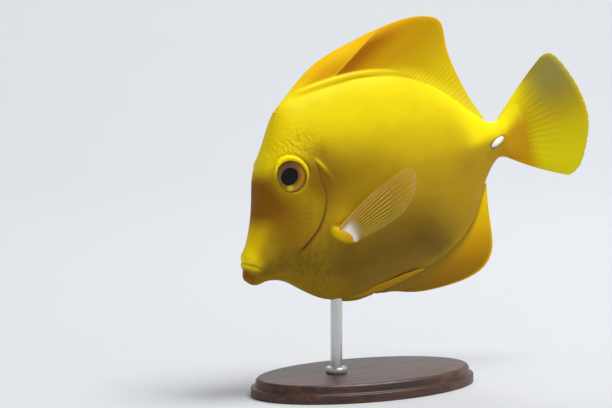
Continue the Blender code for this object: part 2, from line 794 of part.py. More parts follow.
def base_profile():
    """The base from its foot up, as how far in from the edge and how high."""
    rows = [(0, 0), (0, FOOT_HEIGHT - FOOT_EDGE), (FOOT_EDGE, FOOT_HEIGHT)]
    rows.append((TOP_INSET, FOOT_HEIGHT))
    for step in range(ROUND_STEPS + 1):
        angle = math.pi / 2 * step / ROUND_STEPS
        inset = TOP_INSET + TOP_ROUND * (1 - math.cos(angle))
        rows.append((inset, BASE_HEIGHT - TOP_ROUND * (1 - math.sin(angle))))
    return rows


def make_base(group):
    rows = base_profile()
    last = len(rows) - 1

    def place(around, rise):
        inset, up = rows[round(rise * last)]
        angle = 2 * math.pi * around
        along = (BASE_LENGTH / 2 - inset) * math.cos(angle)
        return Vector((along, (BASE_WIDTH / 2 - inset) * math.sin(angle), up))

    shape = bent_grid(BASE_SIDES, last, place)
    bmesh.ops.remove_doubles(shape, verts=shape.verts, dist=0.01 * MM)
    open_edges = [edge for edge in shape.edges if edge.is_boundary]
    bmesh.ops.holes_fill(shape, edges=open_edges, sides=0)
    bmesh.ops.recalc_face_normals(shape, faces=shape.faces)
    base = add_object("stand_base", mesh_from(shape, "stand_base"), WOOD, group)
    smooth(base)


def make_rod(pose, grown_body, group):
    """The upright rod that meets the breast."""
    along, up = belly_at(ROD_ALONG)
    foot = pose.matrix_world @ (Vector((along, 0, up)) * UNIT)
    low, high = BASE_HEIGHT + GAP, foot.z + ROD_INTO_BELLY
    shape = bmesh.new()
    bmesh.ops.create_cone(
        shape,
        cap_ends=True,
        segments=ROD_SIDES,
        radius1=ROD_RADIUS,
        radius2=ROD_RADIUS,
        depth=high - low,
    )
    bmesh.ops.translate(shape, vec=(foot.x, 0, (low + high) / 2), verts=shape.verts)
    rod = add_object("stand_rod", mesh_from(shape, "stand_rod"), STEEL, group)
    cut_clear(rod, [grown_body])
    smooth(rod)


def main():
    clear_scene()
    pieces, grown_body = make_fish()
    pose = pose_fish(pieces)
    stand = new_collection("stand")
    make_base(stand)
    make_rod(pose, grown_body, stand)


main()
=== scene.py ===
# %% [markdown]
# # A yellow tang, as a museum model
#
# The yellow tang is a thin, tall surgeonfish about 150 mm long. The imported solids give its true
# shape in plain pieces. This lesson dresses them as a model maker would: one skin without seams,
# set-in eyes, fins with rays, the white spines at the tail, and a turned wooden stand.

# %% Load the frame
import math

import bpy
import numpy as np
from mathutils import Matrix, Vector, noise


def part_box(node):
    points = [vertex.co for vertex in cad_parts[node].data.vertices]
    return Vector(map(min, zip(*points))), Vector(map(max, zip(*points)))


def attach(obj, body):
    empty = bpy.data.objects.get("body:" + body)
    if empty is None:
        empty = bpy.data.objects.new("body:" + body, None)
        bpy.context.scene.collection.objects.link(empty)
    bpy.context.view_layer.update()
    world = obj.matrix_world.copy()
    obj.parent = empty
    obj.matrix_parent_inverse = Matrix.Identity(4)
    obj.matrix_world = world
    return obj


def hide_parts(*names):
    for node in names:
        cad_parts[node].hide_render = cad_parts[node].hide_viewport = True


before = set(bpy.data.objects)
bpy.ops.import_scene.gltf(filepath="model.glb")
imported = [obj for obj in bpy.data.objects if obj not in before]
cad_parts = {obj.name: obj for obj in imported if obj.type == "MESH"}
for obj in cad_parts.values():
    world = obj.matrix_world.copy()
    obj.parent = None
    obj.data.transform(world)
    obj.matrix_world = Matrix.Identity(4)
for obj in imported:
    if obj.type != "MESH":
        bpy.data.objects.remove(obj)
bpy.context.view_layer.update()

MM = 0.001

# %% [markdown]
# ## The fish's own frame
#
# A fish is easiest to draw lying level, in millimetres: along from the snout, right, and up from
# the axis of the body. One function then tips it nose down and lifts it over its stand. The skin
# hangs on ribs, which are closed sections from the back to the belly, and a smooth curve runs
# through each of their measures, so that a few rows describe the whole body.

# %% Ribs and smooth curves
NOSE_DOWN = math.radians(16.5)
BALANCE_ALONG = 52.0
BELLY_HEIGHT = 30.0

# Along and up at the back, along and up at the belly, half width, leanness above and below
RIBS = {
    "mouth": (2.2, -5.2, 1.2, -13.0, 2.0, 0.9, 0.9),
    "lips": (3.3, -3.2, 3.2, -14.9, 2.9, 0.9, 0.9),
    "snout": (5.4, -0.4, 7.2, -15.8, 4.2, 0.9, 0.9),
    "muzzle": (9.0, 6.2, 12.2, -17.4, 5.8, 0.85, 0.9),
    "cheek": (12.0, 13.8, 16.8, -21.0, 7.2, 0.8, 0.95),
    "brow": (14.9, 20.6, 21.0, -25.0, 8.2, 0.8, 1.0),
    "crown": (20.0, 27.6, 25.6, -28.7, 8.9, 0.85, 1.05),
    "nape": (27.0, 36.4, 31.5, -31.8, 9.3, 1.0, 1.1),
    "shoulder": (38.0, 38.2, 40.0, -34.4, 9.6, 1.15, 1.15),
    "middle": (54.0, 38.2, 54.0, -33.9, 9.4, 1.2, 1.2),
    "loin": (68.0, 36.0, 68.0, -33.2, 8.6, 1.2, 1.2),
    "flank": (80.0, 31.2, 80.0, -30.6, 7.4, 1.2, 1.2),
    "rump": (91.0, 23.2, 91.0, -24.2, 5.9, 1.15, 1.15),
    "stalk front": (100.0, 13.4, 99.2, -13.4, 4.3, 1.05, 1.05),
    "stalk": (107.2, 6.9, 106.6, -6.7, 3.1, 1.0, 1.0),
    "tail root": (111.8, 7.2, 111.2, -7.3, 2.4, 1.0, 1.0),
    "tail end": (117.0, 9.8, 116.6, -9.9, 0.9, 1.0, 1.0),
    "feather": (127.0, 15.8, 126.4, -16.2, 0.5, 1.0, 1.0),
}
LAST_RIB = len(RIBS) - 1


def smooth_curve(rows):
    """The natural cubic curve through rows, as a function of 0 at the first row, 1 at the next."""
    points = np.array(rows, float).reshape(len(rows), -1)
    system = np.eye(len(points))
    right = np.zeros_like(points)
    for i in range(1, len(points) - 1):
        system[i, i - 1 : i + 2] = (1, 4, 1)
        right[i] = 6 * (points[i - 1] - 2 * points[i] + points[i + 1])
    bend = np.linalg.solve(system, right)

    def at(t):
        t = np.clip(np.asarray(t, float), 0, len(points) - 1)
        i = np.minimum(t.astype(int), len(points) - 2)
        b = (t - i)[..., None]
        a = 1 - b
        cubic = (a**3 - a) * bend[i] + (b**3 - b) * bend[i + 1]
        return a * points[i] + b * points[i + 1] + cubic / 6

    return at


rib_at = smooth_curve(list(RIBS.values()))
fine_ribs = rib_at(np.linspace(0, LAST_RIB, 1601))
depths = fine_ribs[:, 2] * math.sin(NOSE_DOWN) + fine_ribs[:, 3] * math.cos(NOSE_DOWN)
AXIS_LIFT = BELLY_HEIGHT - depths.min()


def in_the_room(points):
    """Takes points of the level fish, in millimetres, to where the model holds it, in metres."""
    along, right, up = np.asarray(points, float).reshape(-1, 3).T
    x = (along - BALANCE_ALONG) * math.cos(NOSE_DOWN) - up * math.sin(NOSE_DOWN)
    z = along * math.sin(NOSE_DOWN) + up * math.cos(NOSE_DOWN) + AXIS_LIFT
    return np.stack((x, right, z), axis=1) * MM


SNOUT_TIP = (0, 0, -9.6)
print("snout at", in_the_room(SNOUT_TIP).round(4).tolist())

# %% Small measures that every piece uses


def bump(away, reach):
    """A soft hump, 1 in its middle and about a third at reach."""
    return np.exp(-((away / reach) ** 2))


def ramp(value, low, high):
    """Rises smoothly from 0 at low to 1 at high, or falls where low is the greater."""
    share = np.clip((value - low) / (high - low), 0, 1)
    return share * share * (3 - 2 * share)


def turned(along, up, tilt):
    """Measures the same places along and across a line that rises by this tilt."""
    lengthways = along * math.cos(tilt) + up * math.sin(tilt)
    return lengthways, up * math.cos(tilt) - along * math.sin(tilt)


def back_at(along):
    """How high the back stands at this distance from the snout."""
    return np.interp(along, fine_ribs[:, 0], fine_ribs[:, 1])


def belly_at(along):
    """How high the belly hangs there, which is below 0."""
    return np.interp(along, fine_ribs[:, 2], fine_ribs[:, 3])


def width_on(rib, share):
    """Half the width on a rib, where share is -1 at the belly and 1 at the back."""
    lean = np.where(share > 0, rib[..., 5], rib[..., 6])
    return rib[..., 4] * np.maximum(0, 1 - share * share) ** (lean / 2)


EYE_ALONG, EYE_UP = 21.9, 16.0
BROW_SWELL, BROW_REACH = 1.3, 6.3
HALVINGS = 30


def swelling(along, up):
    """How much the orbit swells the side of the head."""
    return BROW_SWELL * bump(np.hypot(along - EYE_ALONG, up - EYE_UP), BROW_REACH)


def flank_at(along, up):
    """Half the width of the body at points of its side view.

    The rib through a point is found by halving: the point lies before a rib or behind it.
    """
    along, up = np.broadcast_arrays(np.asarray(along, float), np.asarray(up, float))
    low, high = np.zeros(along.shape), np.full(along.shape, float(LAST_RIB))
    for _ in range(HALVINGS):
        middle = (low + high) / 2
        rib = rib_at(middle)
        turn = (rib[..., 0] - rib[..., 2]) * (up - rib[..., 3])
        turn = turn - (rib[..., 1] - rib[..., 3]) * (along - rib[..., 2])
        low = np.where(turn < 0, middle, low)
        high = np.where(turn < 0, high, middle)
    rib = rib_at(low)
    height = np.hypot(rib[..., 0] - rib[..., 2], rib[..., 1] - rib[..., 3])
    from_belly = np.hypot(along - rib[..., 2], up - rib[..., 3])
    share = np.clip(2 * from_belly / height - 1, -1, 1)
    return width_on(rib, share) + swelling(along, up)


print("half width at the eye:", round(float(flank_at(EYE_ALONG, EYE_UP)), 2), "mm")

# %% [markdown]
# ## Sheets of mesh
#
# The skin and the fins all start as a grid from Blender's own primitive. Every corner of a fresh
# grid knows its share across and its share up, so a function of those two shares can carry it to
# its place. That is the quickest way to a surface that follows a rule, and it leaves even faces.

# %% Grid helpers


def newest(name):
    """Names the piece that an operator has just added."""
    piece = bpy.context.object
    piece.name = piece.data.name = name
    return piece


def add_grid(name, columns, rows):
    """A flat grid 1 across and 1 up, round the middle of the room."""
    bpy.ops.object.select_all(action="DESELECT")
    bpy.ops.mesh.primitive_grid_add(x_subdivisions=columns, y_subdivisions=rows, size=1)
    return newest(name)


def corners_of(piece):
    """The place of each corner, one row each."""
    places = np.empty(3 * len(piece.data.vertices))
    piece.data.vertices.foreach_get("co", places)
    return places.reshape(-1, 3)


def shares_of(grid):
    """Each corner's share across a fresh grid, and its share up it."""
    return (corners_of(grid)[:, :2] + 0.5).T


def move_corners(piece, places):
    """Puts the piece's corners at these places, in metres."""
    piece.data.vertices.foreach_set("co", np.ascontiguousarray(places).ravel())
    piece.data.update()


def keep_values(piece, name, values):
    """Stores one number for each corner, for a material to read."""
    layer = piece.data.attributes.new(name, "FLOAT", "POINT")
    layer.data.foreach_set("value", np.asarray(values, np.float32))


def close_and_face_out(piece):
    """Merges corners that meet and turns every face outwards."""
    bpy.ops.object.select_all(action="DESELECT")
    piece.select_set(True)
    bpy.context.view_layer.objects.active = piece
    bpy.ops.object.mode_set(mode="EDIT")
    bpy.ops.mesh.select_all(action="SELECT")
    bpy.ops.mesh.remove_doubles(threshold=2e-6)
    bpy.ops.mesh.normals_make_consistent(inside=False)
    bpy.ops.object.mode_set(mode="OBJECT")
    bpy.ops.object.shade_smooth()


def finish_piece(piece, material, nodes=()):
    """Gives the piece its material, hides the parts that it stands for, and lets it ride with the
    model.
    """
    piece.data.materials.clear()
    piece.data.materials.append(material)
    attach(piece, "root")
    if nodes:
        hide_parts(*nodes)
    print(piece.name, "has", len(piece.data.polygons), "faces")


# %% [markdown]
# ## Materials
#
# Each finish is a small tree of nodes. Patterns read the piece's own place, at a scale worked out
# from millimetres, or a value kept on its corners, so they stay put from every side. Colours are
# written as the eye sees them and turned to the linear light that Blender mixes.

# %% Node helpers


def paint(code):
    """A colour such as F2C400, as linear red, green, blue and alpha."""
    parts = [int(code[i : i + 2], 16) / 255 for i in (0, 2, 4)]
    linear = [c / 12.92 if c <= 0.04045 else ((c + 0.055) / 1.055) ** 2.4 for c in parts]
    return (*linear, 1.0)


def feed(node, inputs):
    """Gives each input of a node another node's output, a number or a colour's code.

    The inputs come by name or number, or in a row from the first one on.
    """
    named = inputs.items() if isinstance(inputs, dict) else enumerate(inputs)
    for socket, value in named:
        if isinstance(value, bpy.types.NodeSocket):
            node.id_data.links.new(value, node.inputs[socket])
        else:
            node.inputs[socket].default_value = paint(value) if isinstance(value, str) else value


def add_node(tree, kind, inputs=(), output=0, stops=(), **settings):
    """Adds a node, sets and feeds it, and gives one of its outputs. Stops are a colour ramp's."""
    node = tree.nodes.new("ShaderNode" + kind)
    for name, value in settings.items():
        setattr(node, name, value)
    feed(node, inputs)
    if stops:
        elements = node.color_ramp.elements
        while len(elements) < len(stops):
            elements.new(0.5)
        for element, (place, code) in zip(elements, stops):
            element.position, element.color = place, paint(code)
    return node.outputs[output]


def new_material(name, inputs):
    """A material, its tree of nodes and its shader, with the shader's own numbers set."""
    material = bpy.data.materials.new(name)
    material.use_nodes = True
    shader = material.node_tree.nodes["Principled BSDF"]
    feed(shader, inputs)
    return material, material.node_tree, shader


def lay_colours(tree, colour, layers):
    """Lays colours over a first one.

    Each layer is a strength and a colour. A strength that is a name is kept on the piece.
    """
    for strength, code in layers:
        if isinstance(strength, str):
            strength = add_node(tree, "Attribute", output="Fac", attribute_name=strength)
        colour = add_node(tree, "Mix", {0: strength, 6: colour, 7: code}, 2, data_type="RGBA")
    return colour


def per_mm(size):
    """The scale of a texture whose cells or waves are size millimetres across."""
    return 1 / (size * MM)


# %% [markdown]
# ## Skin
#
# A tang's skin is covered with very fine toothed scales that feel like velvet. They scatter the
# light, so the fish looks satin and never shiny. It is lemon yellow, made deeper, browner yellow
# low on the flanks by painted shade, as under light from above. The scales are half a millimetre
# across, finer than the picture shows, and are drawn a little coarser. The rough patch over the
# eye and nape has larger grains.

# %% Skin material
SCALE_SIZE, GRAIN_SIZE, PATCH_SIZE, CLOUD_SIZE = 0.8, 1.3, 9.0, 2.6
# From the belly to the back: lemon yellow, with painted shade that makes it darker and
# browner low down
FLANK_SHADE_COLOURS = (
    (0.0, "90701C"),
    (0.10, "7A5E18"),
    (0.19, "624C12"),
    (0.28, "765A14"),
    (0.42, "B08C14"),
    (0.60, "C4A20C"),
    (0.80, "F6DC06"),
    (1.0, "FEEC0C"),
)
# The stalk's gold and the painted highlight both run on over the root of the tail fin
STALK_GOLD, HIGHLIGHT_YELLOW = "BE8C02", "FFE806"
# Values kept on the skin, and the colour that each lays over those before it. Most are painted
# light and shade: highlights, shade on the head and flank, and a shadow along the gill cover's edge
SKIN_LAYERS = (
    ("gold", "EEB800"),
    ("stalk", STALK_GOLD),
    ("painted_shade", "866208"),
    ("brown", "8A5808"),
    ("bright", HIGHLIGHT_YELLOW),
    ("painted_warm_shade", "8E3A08"),
    ("painted_gill_shadow", "5A2C14"),
)


def make_skin():
    """Skin with scales too small to see one by one: satin, fine in grain and a little clouded."""
    material, tree, shader = new_material(
        "satin_scaled_skin",
        {
            "IOR": 1.42,
            "Specular IOR Level": 0.1,
            "Subsurface Weight": 0.12,
            "Subsurface Scale": 0.002,
            "Subsurface Radius": (1.0, 0.6, 0.1),
        },
    )
    place = add_node(tree, "TexCoord", output="Object")
    height = add_node(tree, "Attribute", output="Fac", attribute_name="height")
    grain = add_node(tree, "Attribute", output="Fac", attribute_name="grain")
    flank = add_node(tree, "ValToRGB", {"Fac": height}, stops=FLANK_SHADE_COLOURS)
    patches, cloudy = (
        add_node(
            tree,
            "TexNoise",
            {"Vector": place, "Scale": per_mm(size), "Detail": detail, "Roughness": rough},
        )
        for size, detail, rough in ((PATCH_SIZE, 3.0, 0.55), (CLOUD_SIZE, 4.0, 0.6))
    )
    scales, grains = (
        add_node(
            tree,
            "TexVoronoi",
            {"Vector": place, "Scale": per_mm(size), "Smoothness": smooth},
            feature="SMOOTH_F1",
        )
        for size, smooth in ((SCALE_SIZE, 0.4), (GRAIN_SIZE, 0.3))
    )
    patchy = add_node(tree, "Math", (patches, 0.35), operation="MULTIPLY")
    # Pale flecks, strongest on the back and the rough patch
    flecks = add_node(tree, "Math", (cloudy, 0.45), operation="SUBTRACT", use_clamp=True)
    flecks = add_node(tree, "Math", (flecks, 0.3), operation="MULTIPLY")
    often = add_node(tree, "Math", (grain, 3.0), operation="MULTIPLY")
    often = add_node(tree, "Math", (often, height), operation="ADD")
    flecks = add_node(tree, "Math", (flecks, often), operation="MULTIPLY")
    grain_height = add_node(tree, "Math", (grains, grain), operation="MULTIPLY")
    pits = add_node(tree, "Math", (grain_height, 0.8), operation="MULTIPLY")
    layers = ((patchy, "A87C08"), (flecks, "FFE820"), (pits, "C8A404"), *SKIN_LAYERS)

    relief = add_node(
        tree, "Bump", {"Strength": 0.35, "Distance": 0.06 * MM, "Height": scales}, invert=True
    )
    relief = add_node(
        tree,
        "Bump",
        {"Strength": 1.0, "Distance": 0.35 * MM, "Height": grain_height, "Normal": relief},
        invert=True,
    )
    rough = add_node(tree, "Math", (cloudy, 0.16), operation="MULTIPLY")
    rough = add_node(tree, "Math", (rough, 0.40), operation="ADD")
    feed(
        shader,
        {"Base Color": lay_colours(tree, flank, layers), "Roughness": rough, "Normal": relief},
    )
    return material


skin_material = make_skin()

# %% [markdown]
# ## Landmarks on the head
#
# The eye, the mouth, the nostrils, the gill cover and the root of the pectoral fin are all part of
# one skin. They could be separate meshes joined to it, but a seam would show. So each is a rule
# that pushes the skin out or in along its normal near a landmark, mostly by less than a millimetre.

# %% The eye's place
OPENING, SOCKET_DEPTH = 4.95, 2.4
# The fold of skin round the eye: how broad and how high it is over the eye, and under it
FOLD_OVER, FOLD_UNDER = (1.65, 1.05), (0.5, 0.4)
FOLD_LEAN = math.radians(28)
# The opening is a little taller than it is long
EYE_NARROW = 0.9


def eye_frame(side):
    """The middle of the eye on the skin, and its unit directions out, back and up."""
    step = 1.0
    forward = flank_at(EYE_ALONG + step, EYE_UP) - flank_at(EYE_ALONG - step, EYE_UP)
    upward = flank_at(EYE_ALONG, EYE_UP + step) - flank_at(EYE_ALONG, EYE_UP - step)
    out = np.array((-forward / 2, side * step, -upward / 2), float).ravel()
    out /= np.linalg.norm(out)
    back = np.array((1.0, 0.0, 0.0)) - out * out[0]
    back /= np.linalg.norm(back)
    up = np.array((0.0, 0.0, 1.0)) - out * out[2] - back * back[2]
    up /= np.linalg.norm(up)
    middle = np.array((EYE_ALONG, side * float(flank_at(EYE_ALONG, EYE_UP)), EYE_UP))
    return middle, out, back, up


def around_eye(points, side):
    """Distance from the eye's axis, height over its plane, and 1 over the eye to -1 under it.

    The fold of skin is at its highest a little behind the top of the eye, so over leans back.
    """
    middle, out, back, up = eye_frame(side)
    over = up * math.cos(FOLD_LEAN) + back * math.sin(FOLD_LEAN)
    away = points - middle
    height = away @ out
    radius = np.sqrt(np.maximum(1e-9, (away * away).sum(1) - height**2))
    distance = np.hypot(away @ back / EYE_NARROW, away @ up)
    return distance, height, away @ over / radius


print("the left eye's middle:", eye_frame(-1)[0].round(1).tolist())

# %% The mouth and the nostrils
# The line of the mouth: its height at the front, its slant and how far back it reaches
GAPE_UP, GAPE_SLANT, GAPE_REACH = -6.25, math.radians(35), 5.2
# Ridges along it: their height, how far above it they lie, and their reach
LIP_RIDGES = ((0.55, 2.0, 1.4), (0.25, -0.95, 0.7), (-0.2, -2.4, 0.8))
GAPE_DEPTH, GAPE_BREADTH = 0.4, 0.22
CORNER_DEPTH, CORNER_REACH, CORNER_TALL = 0.22, 0.7, 3.0
CHIN_RISE, CHIN_UNDER, CHIN_REACH = 0.8, 5.3, 1.6
# Along, up and radius
NOSTRILS = ((13.4, 9.2, 0.5), (14.8, 10.1, 0.4))
NOSTRIL_RIM, NOSTRIL_DEPTH = 0.08, 0.2


def above_gape(along, up):
    """How far points lie above the line of the mouth."""
    return (up - GAPE_UP) * math.cos(GAPE_SLANT) + along * math.sin(GAPE_SLANT)


def mouth_push(along, up):
    """A full upper lip, the line of the mouth, a thin lower lip, and the chin under it."""
    above = above_gape(along, up)
    front = ramp(along, GAPE_REACH + 1.6, GAPE_REACH - 2.6)
    lips = sum(high * bump(above - middle, reach) for high, middle, reach in LIP_RIDGES)
    chin = CHIN_RISE * bump(above + CHIN_UNDER, CHIN_REACH) * ramp(along, 9.5, 3.5)
    line = -GAPE_DEPTH * bump(above, GAPE_BREADTH)
    line = line * ramp(along, GAPE_REACH - 0.4, GAPE_REACH - 2.0)
    corner = -CORNER_DEPTH * bump(along - GAPE_REACH - 1.7, CORNER_REACH) * bump(above, CORNER_TALL)
    return lips * front + chin + line + corner


def nostril_push(along, up):
    """Two small pits, each with a soft rim."""
    push = np.zeros(along.shape)
    for middle_along, middle_up, radius in NOSTRILS:
        away = np.hypot(along - middle_along, (up - middle_up) / 1.3)
        push += NOSTRIL_RIM * bump(away - radius * 1.5, 0.3)
        push -= NOSTRIL_DEPTH * ramp(away, radius * 1.2, radius * 0.4)
    return push


print("the line of the mouth ends", GAPE_REACH, "mm behind the snout")

# %% The gill cover and the shoulder bone
GILL_EDGE = (
    (31.2, 19.8), (31.8, 14.9), (31.5, 10.6), (32.0, 7.1),
    (30.9, 3.2), (28.0, -1.8), (23.4, -5.6), (16.8, -9.5),
)
SHOULDER = ((31.6, 19.4), (34.2, 15.3), (35.5, 10.6), (37.0, 4.2), (37.9, -1.4))
CHEEK_RIDGE = ((26.6, 10.0), (26.2, 3.6), (23.8, -2.2), (19.4, -5.6))
# How high each form stands, or how deep it lies, and its reach
PLATE, HOLLOW, SHOULDER_BONE, CHEEK_BONE = (0.5, 3.2), (0.55, 1.3), (0.5, 0.7), (0.12, 1.1)
# Fine curved ridges low on the plate: their height and spacing
RIDGE_RISE, RIDGE_SPACING = 0.1, 1.7


def beside(guides, along, up):
    """Distance of points from a curve in the side view, above 0 behind it, and their share of it."""
    last = len(guides) - 1
    t = np.linspace(0, last, 60 * last + 1)
    line = smooth_curve(guides)(t)
    heading = np.gradient(line, axis=0)
    heading /= np.linalg.norm(heading, axis=1)[:, None]
    away = np.stack((along, up), axis=1)[:, None, :] - line[None]
    nearest = (away * away).sum(2).argmin(1)
    away = away[np.arange(len(along)), nearest]
    across = away[:, 1] * heading[nearest, 0] - away[:, 0] * heading[nearest, 1]
    return np.copysign(np.hypot(away[:, 0], away[:, 1]), across), t[nearest] / last


def gill_push(along, up):
    """The plate of the gill cover, its sharp free edge and the bone of the shoulder behind it."""
    near = (along > 10) & (along < 44) & (up > -18) & (up < 27)
    push, line, glow = np.zeros((3, len(along)))
    a, u = along[near], up[near]
    behind, place = beside(GILL_EDGE, a, u)
    fade = ramp(place, 0.0, 0.12) * ramp(place, 1.0, 0.93)
    fade *= ramp(np.abs(behind), 9.0, 5.0)
    plate = PLATE[0] * np.exp(-np.abs(behind) / PLATE[1])
    hollow = -HOLLOW[0] * np.exp(-np.abs(behind) / HOLLOW[1])
    edge = ramp(behind, -0.28, 0.28)
    push[near] = fade * (plate * (1 - edge) + hollow * edge)
    # A painted shadow just behind the free edge, darker and broader low down
    low = ramp(place, 0.35, 0.75)
    line[near] = fade * bump(behind - 0.25, 0.4 + 0.2 * low) * (0.35 + 0.65 * low)
    bone, place = beside(SHOULDER, a, u)
    length_fade = ramp(place, 0.0, 0.08) * ramp(place, 0.75, 0.25)
    push[near] += SHOULDER_BONE[0] * bump(bone, SHOULDER_BONE[1]) * length_fade
    # A painted highlight along the upper part of the shoulder bone
    glow[near] = 0.9 * bump(bone + 0.2, 0.45) * ramp(place, 0.0, 0.08) * ramp(place, 0.45, 0.15)
    bone, place = beside(CHEEK_RIDGE, a, u)
    length_fade = ramp(place, 0.0, 0.2) * ramp(place, 1.0, 0.8)
    push[near] += CHEEK_BONE[0] * bump(bone, CHEEK_BONE[1]) * length_fade
    waves = np.sin(2 * math.pi * (u + 0.12 * (a - 22.0) ** 2) / RIDGE_SPACING)
    push[near] += RIDGE_RISE * waves * bump(np.hypot((a - 23.2) / 3.2, (u - 2.4) / 4.0), 1.0)
    return push, line, glow


print("the gill cover's edge runs from", GILL_EDGE[0], "to", GILL_EDGE[-1])

# %% The fleshy root of the pectoral fin
LOBE_ALONG, LOBE_UP, LOBE_TILT = 35.1, -8.7, math.radians(-37)
LOBE_LONG, LOBE_TALL, LOBE_HEIGHT = 6.1, 2.4, 2.0
# The muscle over the lobe: its middle along and up, and its reach along and up
MUSCLE = (35.3, -2.8, 4.2, 3.0)


def lobe_share(along, up):
    """How far inside the lobe's outline points lie: 1 in its middle and 0 from its edge out."""
    long_way, tall_way = turned(along - LOBE_ALONG, up - LOBE_UP, LOBE_TILT)
    return np.maximum(0, 1 - (long_way / LOBE_LONG) ** 2 - (tall_way / LOBE_TALL) ** 2)


print("the lobe's middle is", LOBE_ALONG, "mm behind the snout")

# %% [markdown]
# ## The skin of head, body and tail stalk
#
# One grid wraps the whole fish, in rings from the tip of the snout to the root of the tail. The
# rings stand closest on the head, where the forms are fine, and about two millimetres apart on
# the flank.

# %% The skin's grid, the tail and its spine
RING_SHARES = (0.0, 0.055, 0.11, 0.235, 0.425, 0.62, 0.74, 1.0)
RING_RIBS = (-1.0, 0.0, 1.0, 3.0, 6.0, 7.3, 8.2, 17.0)
SKIN_RINGS, SKIN_SIDES = 236, 400
NOSE_DEPTH = 1.0
# The flesh runs out over the last rib's length as a wedge that dives under the tail fin's rays
TAIL_WEDGE, WEDGE_POWER = 1.0, 1.25
# How far the edges of the tail fin lie to the side of its middle, and how late they turn there
TAIL_SWAY, SWAY_POWER = 1.6, 1.4
SPINE_ALONG, SPINE_UP, SPINE_TILT = 106.6, 0.0, math.radians(14)
SPINE_LONG, SPINE_TALL = 3.4, 1.15


def tail_edge(along, up):
    """1 at the upper edge of the stalk and the tail fin, and -1 at the lower edge."""
    return np.clip(up / (7 + 0.64 * np.maximum(0, along - 111)), -1, 1)


def tail_lean(along, up):
    """How far the tail fin's middle surface lies to the right, at a place near its root."""
    edge = tail_edge(along, up)
    out = (along - 111.6 + 2.1 * edge**2) / (38.4 - 11.3 * edge**2)
    return TAIL_SWAY * np.sin(math.pi / 2 * edge) * np.clip(out, 0, 1) ** SWAY_POWER


def stalk_gold(along, up):
    """The dark gold low on the stalk, which runs out onto the tail fin."""
    length = ramp(along, 103.0, 112.0) * ramp(along, 127.0, 119.0)
    return length * ramp(tail_edge(along, up), 0.65, 0.1)


def stalk_bright(along, up):
    """A painted highlight on the top of the stalk, which runs out along the tail fin's upper edge.
    """
    length = ramp(along, 90.0, 100.0) * ramp(along, 127.0, 110.0)
    return length * ramp(tail_edge(along, up), 0.0, 0.7)


print("the spine's groove is", SPINE_LONG, "by", SPINE_TALL, "mm in radius")

# %% The bare body


def bare_skin(across, around):
    """The smooth body at shares of the grid, without its landmarks."""
    ring = np.interp(across, RING_SHARES, RING_RIBS)
    turn = around * 2 * math.pi
    rib = rib_at(ring)
    share, side = -np.cos(turn), np.sin(turn)
    nose = np.clip(ring + 1, 0, 1) * math.pi / 2
    tail = np.clip((LAST_RIB - ring) / TAIL_WEDGE, 0, 1) ** WEDGE_POWER
    reach = share * np.sin(nose)
    along = (rib[:, 0] + rib[:, 2] + reach * (rib[:, 0] - rib[:, 2])) / 2
    along = along - NOSE_DEPTH * np.cos(nose)
    up = (rib[:, 1] + rib[:, 3] + reach * (rib[:, 1] - rib[:, 3])) / 2
    out = width_on(rib, share) * np.sin(nose) * tail + swelling(along, up) * np.abs(side)
    return np.stack((along, np.copysign(out, side) + tail_lean(along, up), up), axis=1)


def skin_normals(across, around):
    """Unit normals, from the surface a small step away on each side."""
    step = 0.0008
    ahead = bare_skin(np.clip(across + step, 0, 1), around)
    behind = bare_skin(np.clip(across - step, 0, 1), around)
    over = bare_skin(across, around + step) - bare_skin(across, around - step)
    normal = np.cross(ahead - behind, over)
    length = np.linalg.norm(normal, axis=1)[:, None]
    return np.where(length > 1e-9, normal / np.maximum(length, 1e-9), (-1.0, 0.0, 0.0))


# %% Push the landmarks out of the skin
MUSCLE_RISE, GROOVE_DEPTH, GROOVE_RIM = 0.4, 0.8, 0.25
skin = add_grid("skin", SKIN_RINGS, SKIN_SIDES)
across, around = shares_of(skin)
points = bare_skin(across, around)
normals = skin_normals(across, around)
middle_out = normals[np.abs(around - 0.25) < 0.01][:, 1].mean()
normals *= np.sign(middle_out)
along, right, up = points.T


def patch(middle_along, middle_up, reach_along, reach_up):
    """A soft oval patch on both sides of the fish."""
    away = np.hypot((along - middle_along) / reach_along, (up - middle_up) / reach_up)
    return bump(away, 1.0)


push = mouth_push(along, up) + nostril_push(along, up)
gill, painted_gill_shadow, shoulder_glow = gill_push(along, up)
lobe = lobe_share(along, up)
push += gill + LOBE_HEIGHT * lobe**0.62
push += MUSCLE_RISE * patch(*MUSCLE)

long_way, tall_way = turned(along - SPINE_ALONG, up - SPINE_UP, SPINE_TILT)
spine_away = np.hypot(long_way / SPINE_LONG, tall_way / SPINE_TALL)
push += GROOVE_RIM * bump(spine_away - 1.35, 0.3) - GROOVE_DEPTH * ramp(spine_away, 1.15, 0.7)
print("pushed in by", round(-push.min(), 2), "mm, and out by", round(push.max(), 2), "mm")

# %% The rim of the eye, the rough nape and the slow unevenness of living flesh
rim_glow = np.zeros(len(points))
for side in (-1, 1):
    distance, height, over = around_eye(points, side)
    here = (distance < 10.5) & (np.sign(right) == side) & (np.abs(height) < 6)
    d, over = distance[here], ramp(over[here], -0.35, 0.8)
    broad, high = (low + (top - low) * over for low, top in zip(FOLD_UNDER, FOLD_OVER))
    from_crest = d - OPENING - 0.5 * broad
    rim = high * np.where(
        from_crest < 0, bump(from_crest, 0.45 * broad), bump(from_crest, 0.38 * broad + 0.15)
    )
    groove = -0.4 * over * bump(from_crest - 0.8 * broad - 0.25, 0.4)
    flat = ramp(d, 7.5, 5.4)
    socket = ramp(d, OPENING + 0.2, OPENING - 0.5)
    push[here] += rim + groove - socket * SOCKET_DEPTH - flat * height[here] * 0.7
    # A painted highlight along the crest of the rim, strongest over the eye
    rim_glow[here] = bump(from_crest, 0.5 * broad) * (0.3 + 0.7 * over)

# The rough patch: its middle along and up, and its reach along and up
NAPE = (28.0, 23.8, 9.0, 5.0)
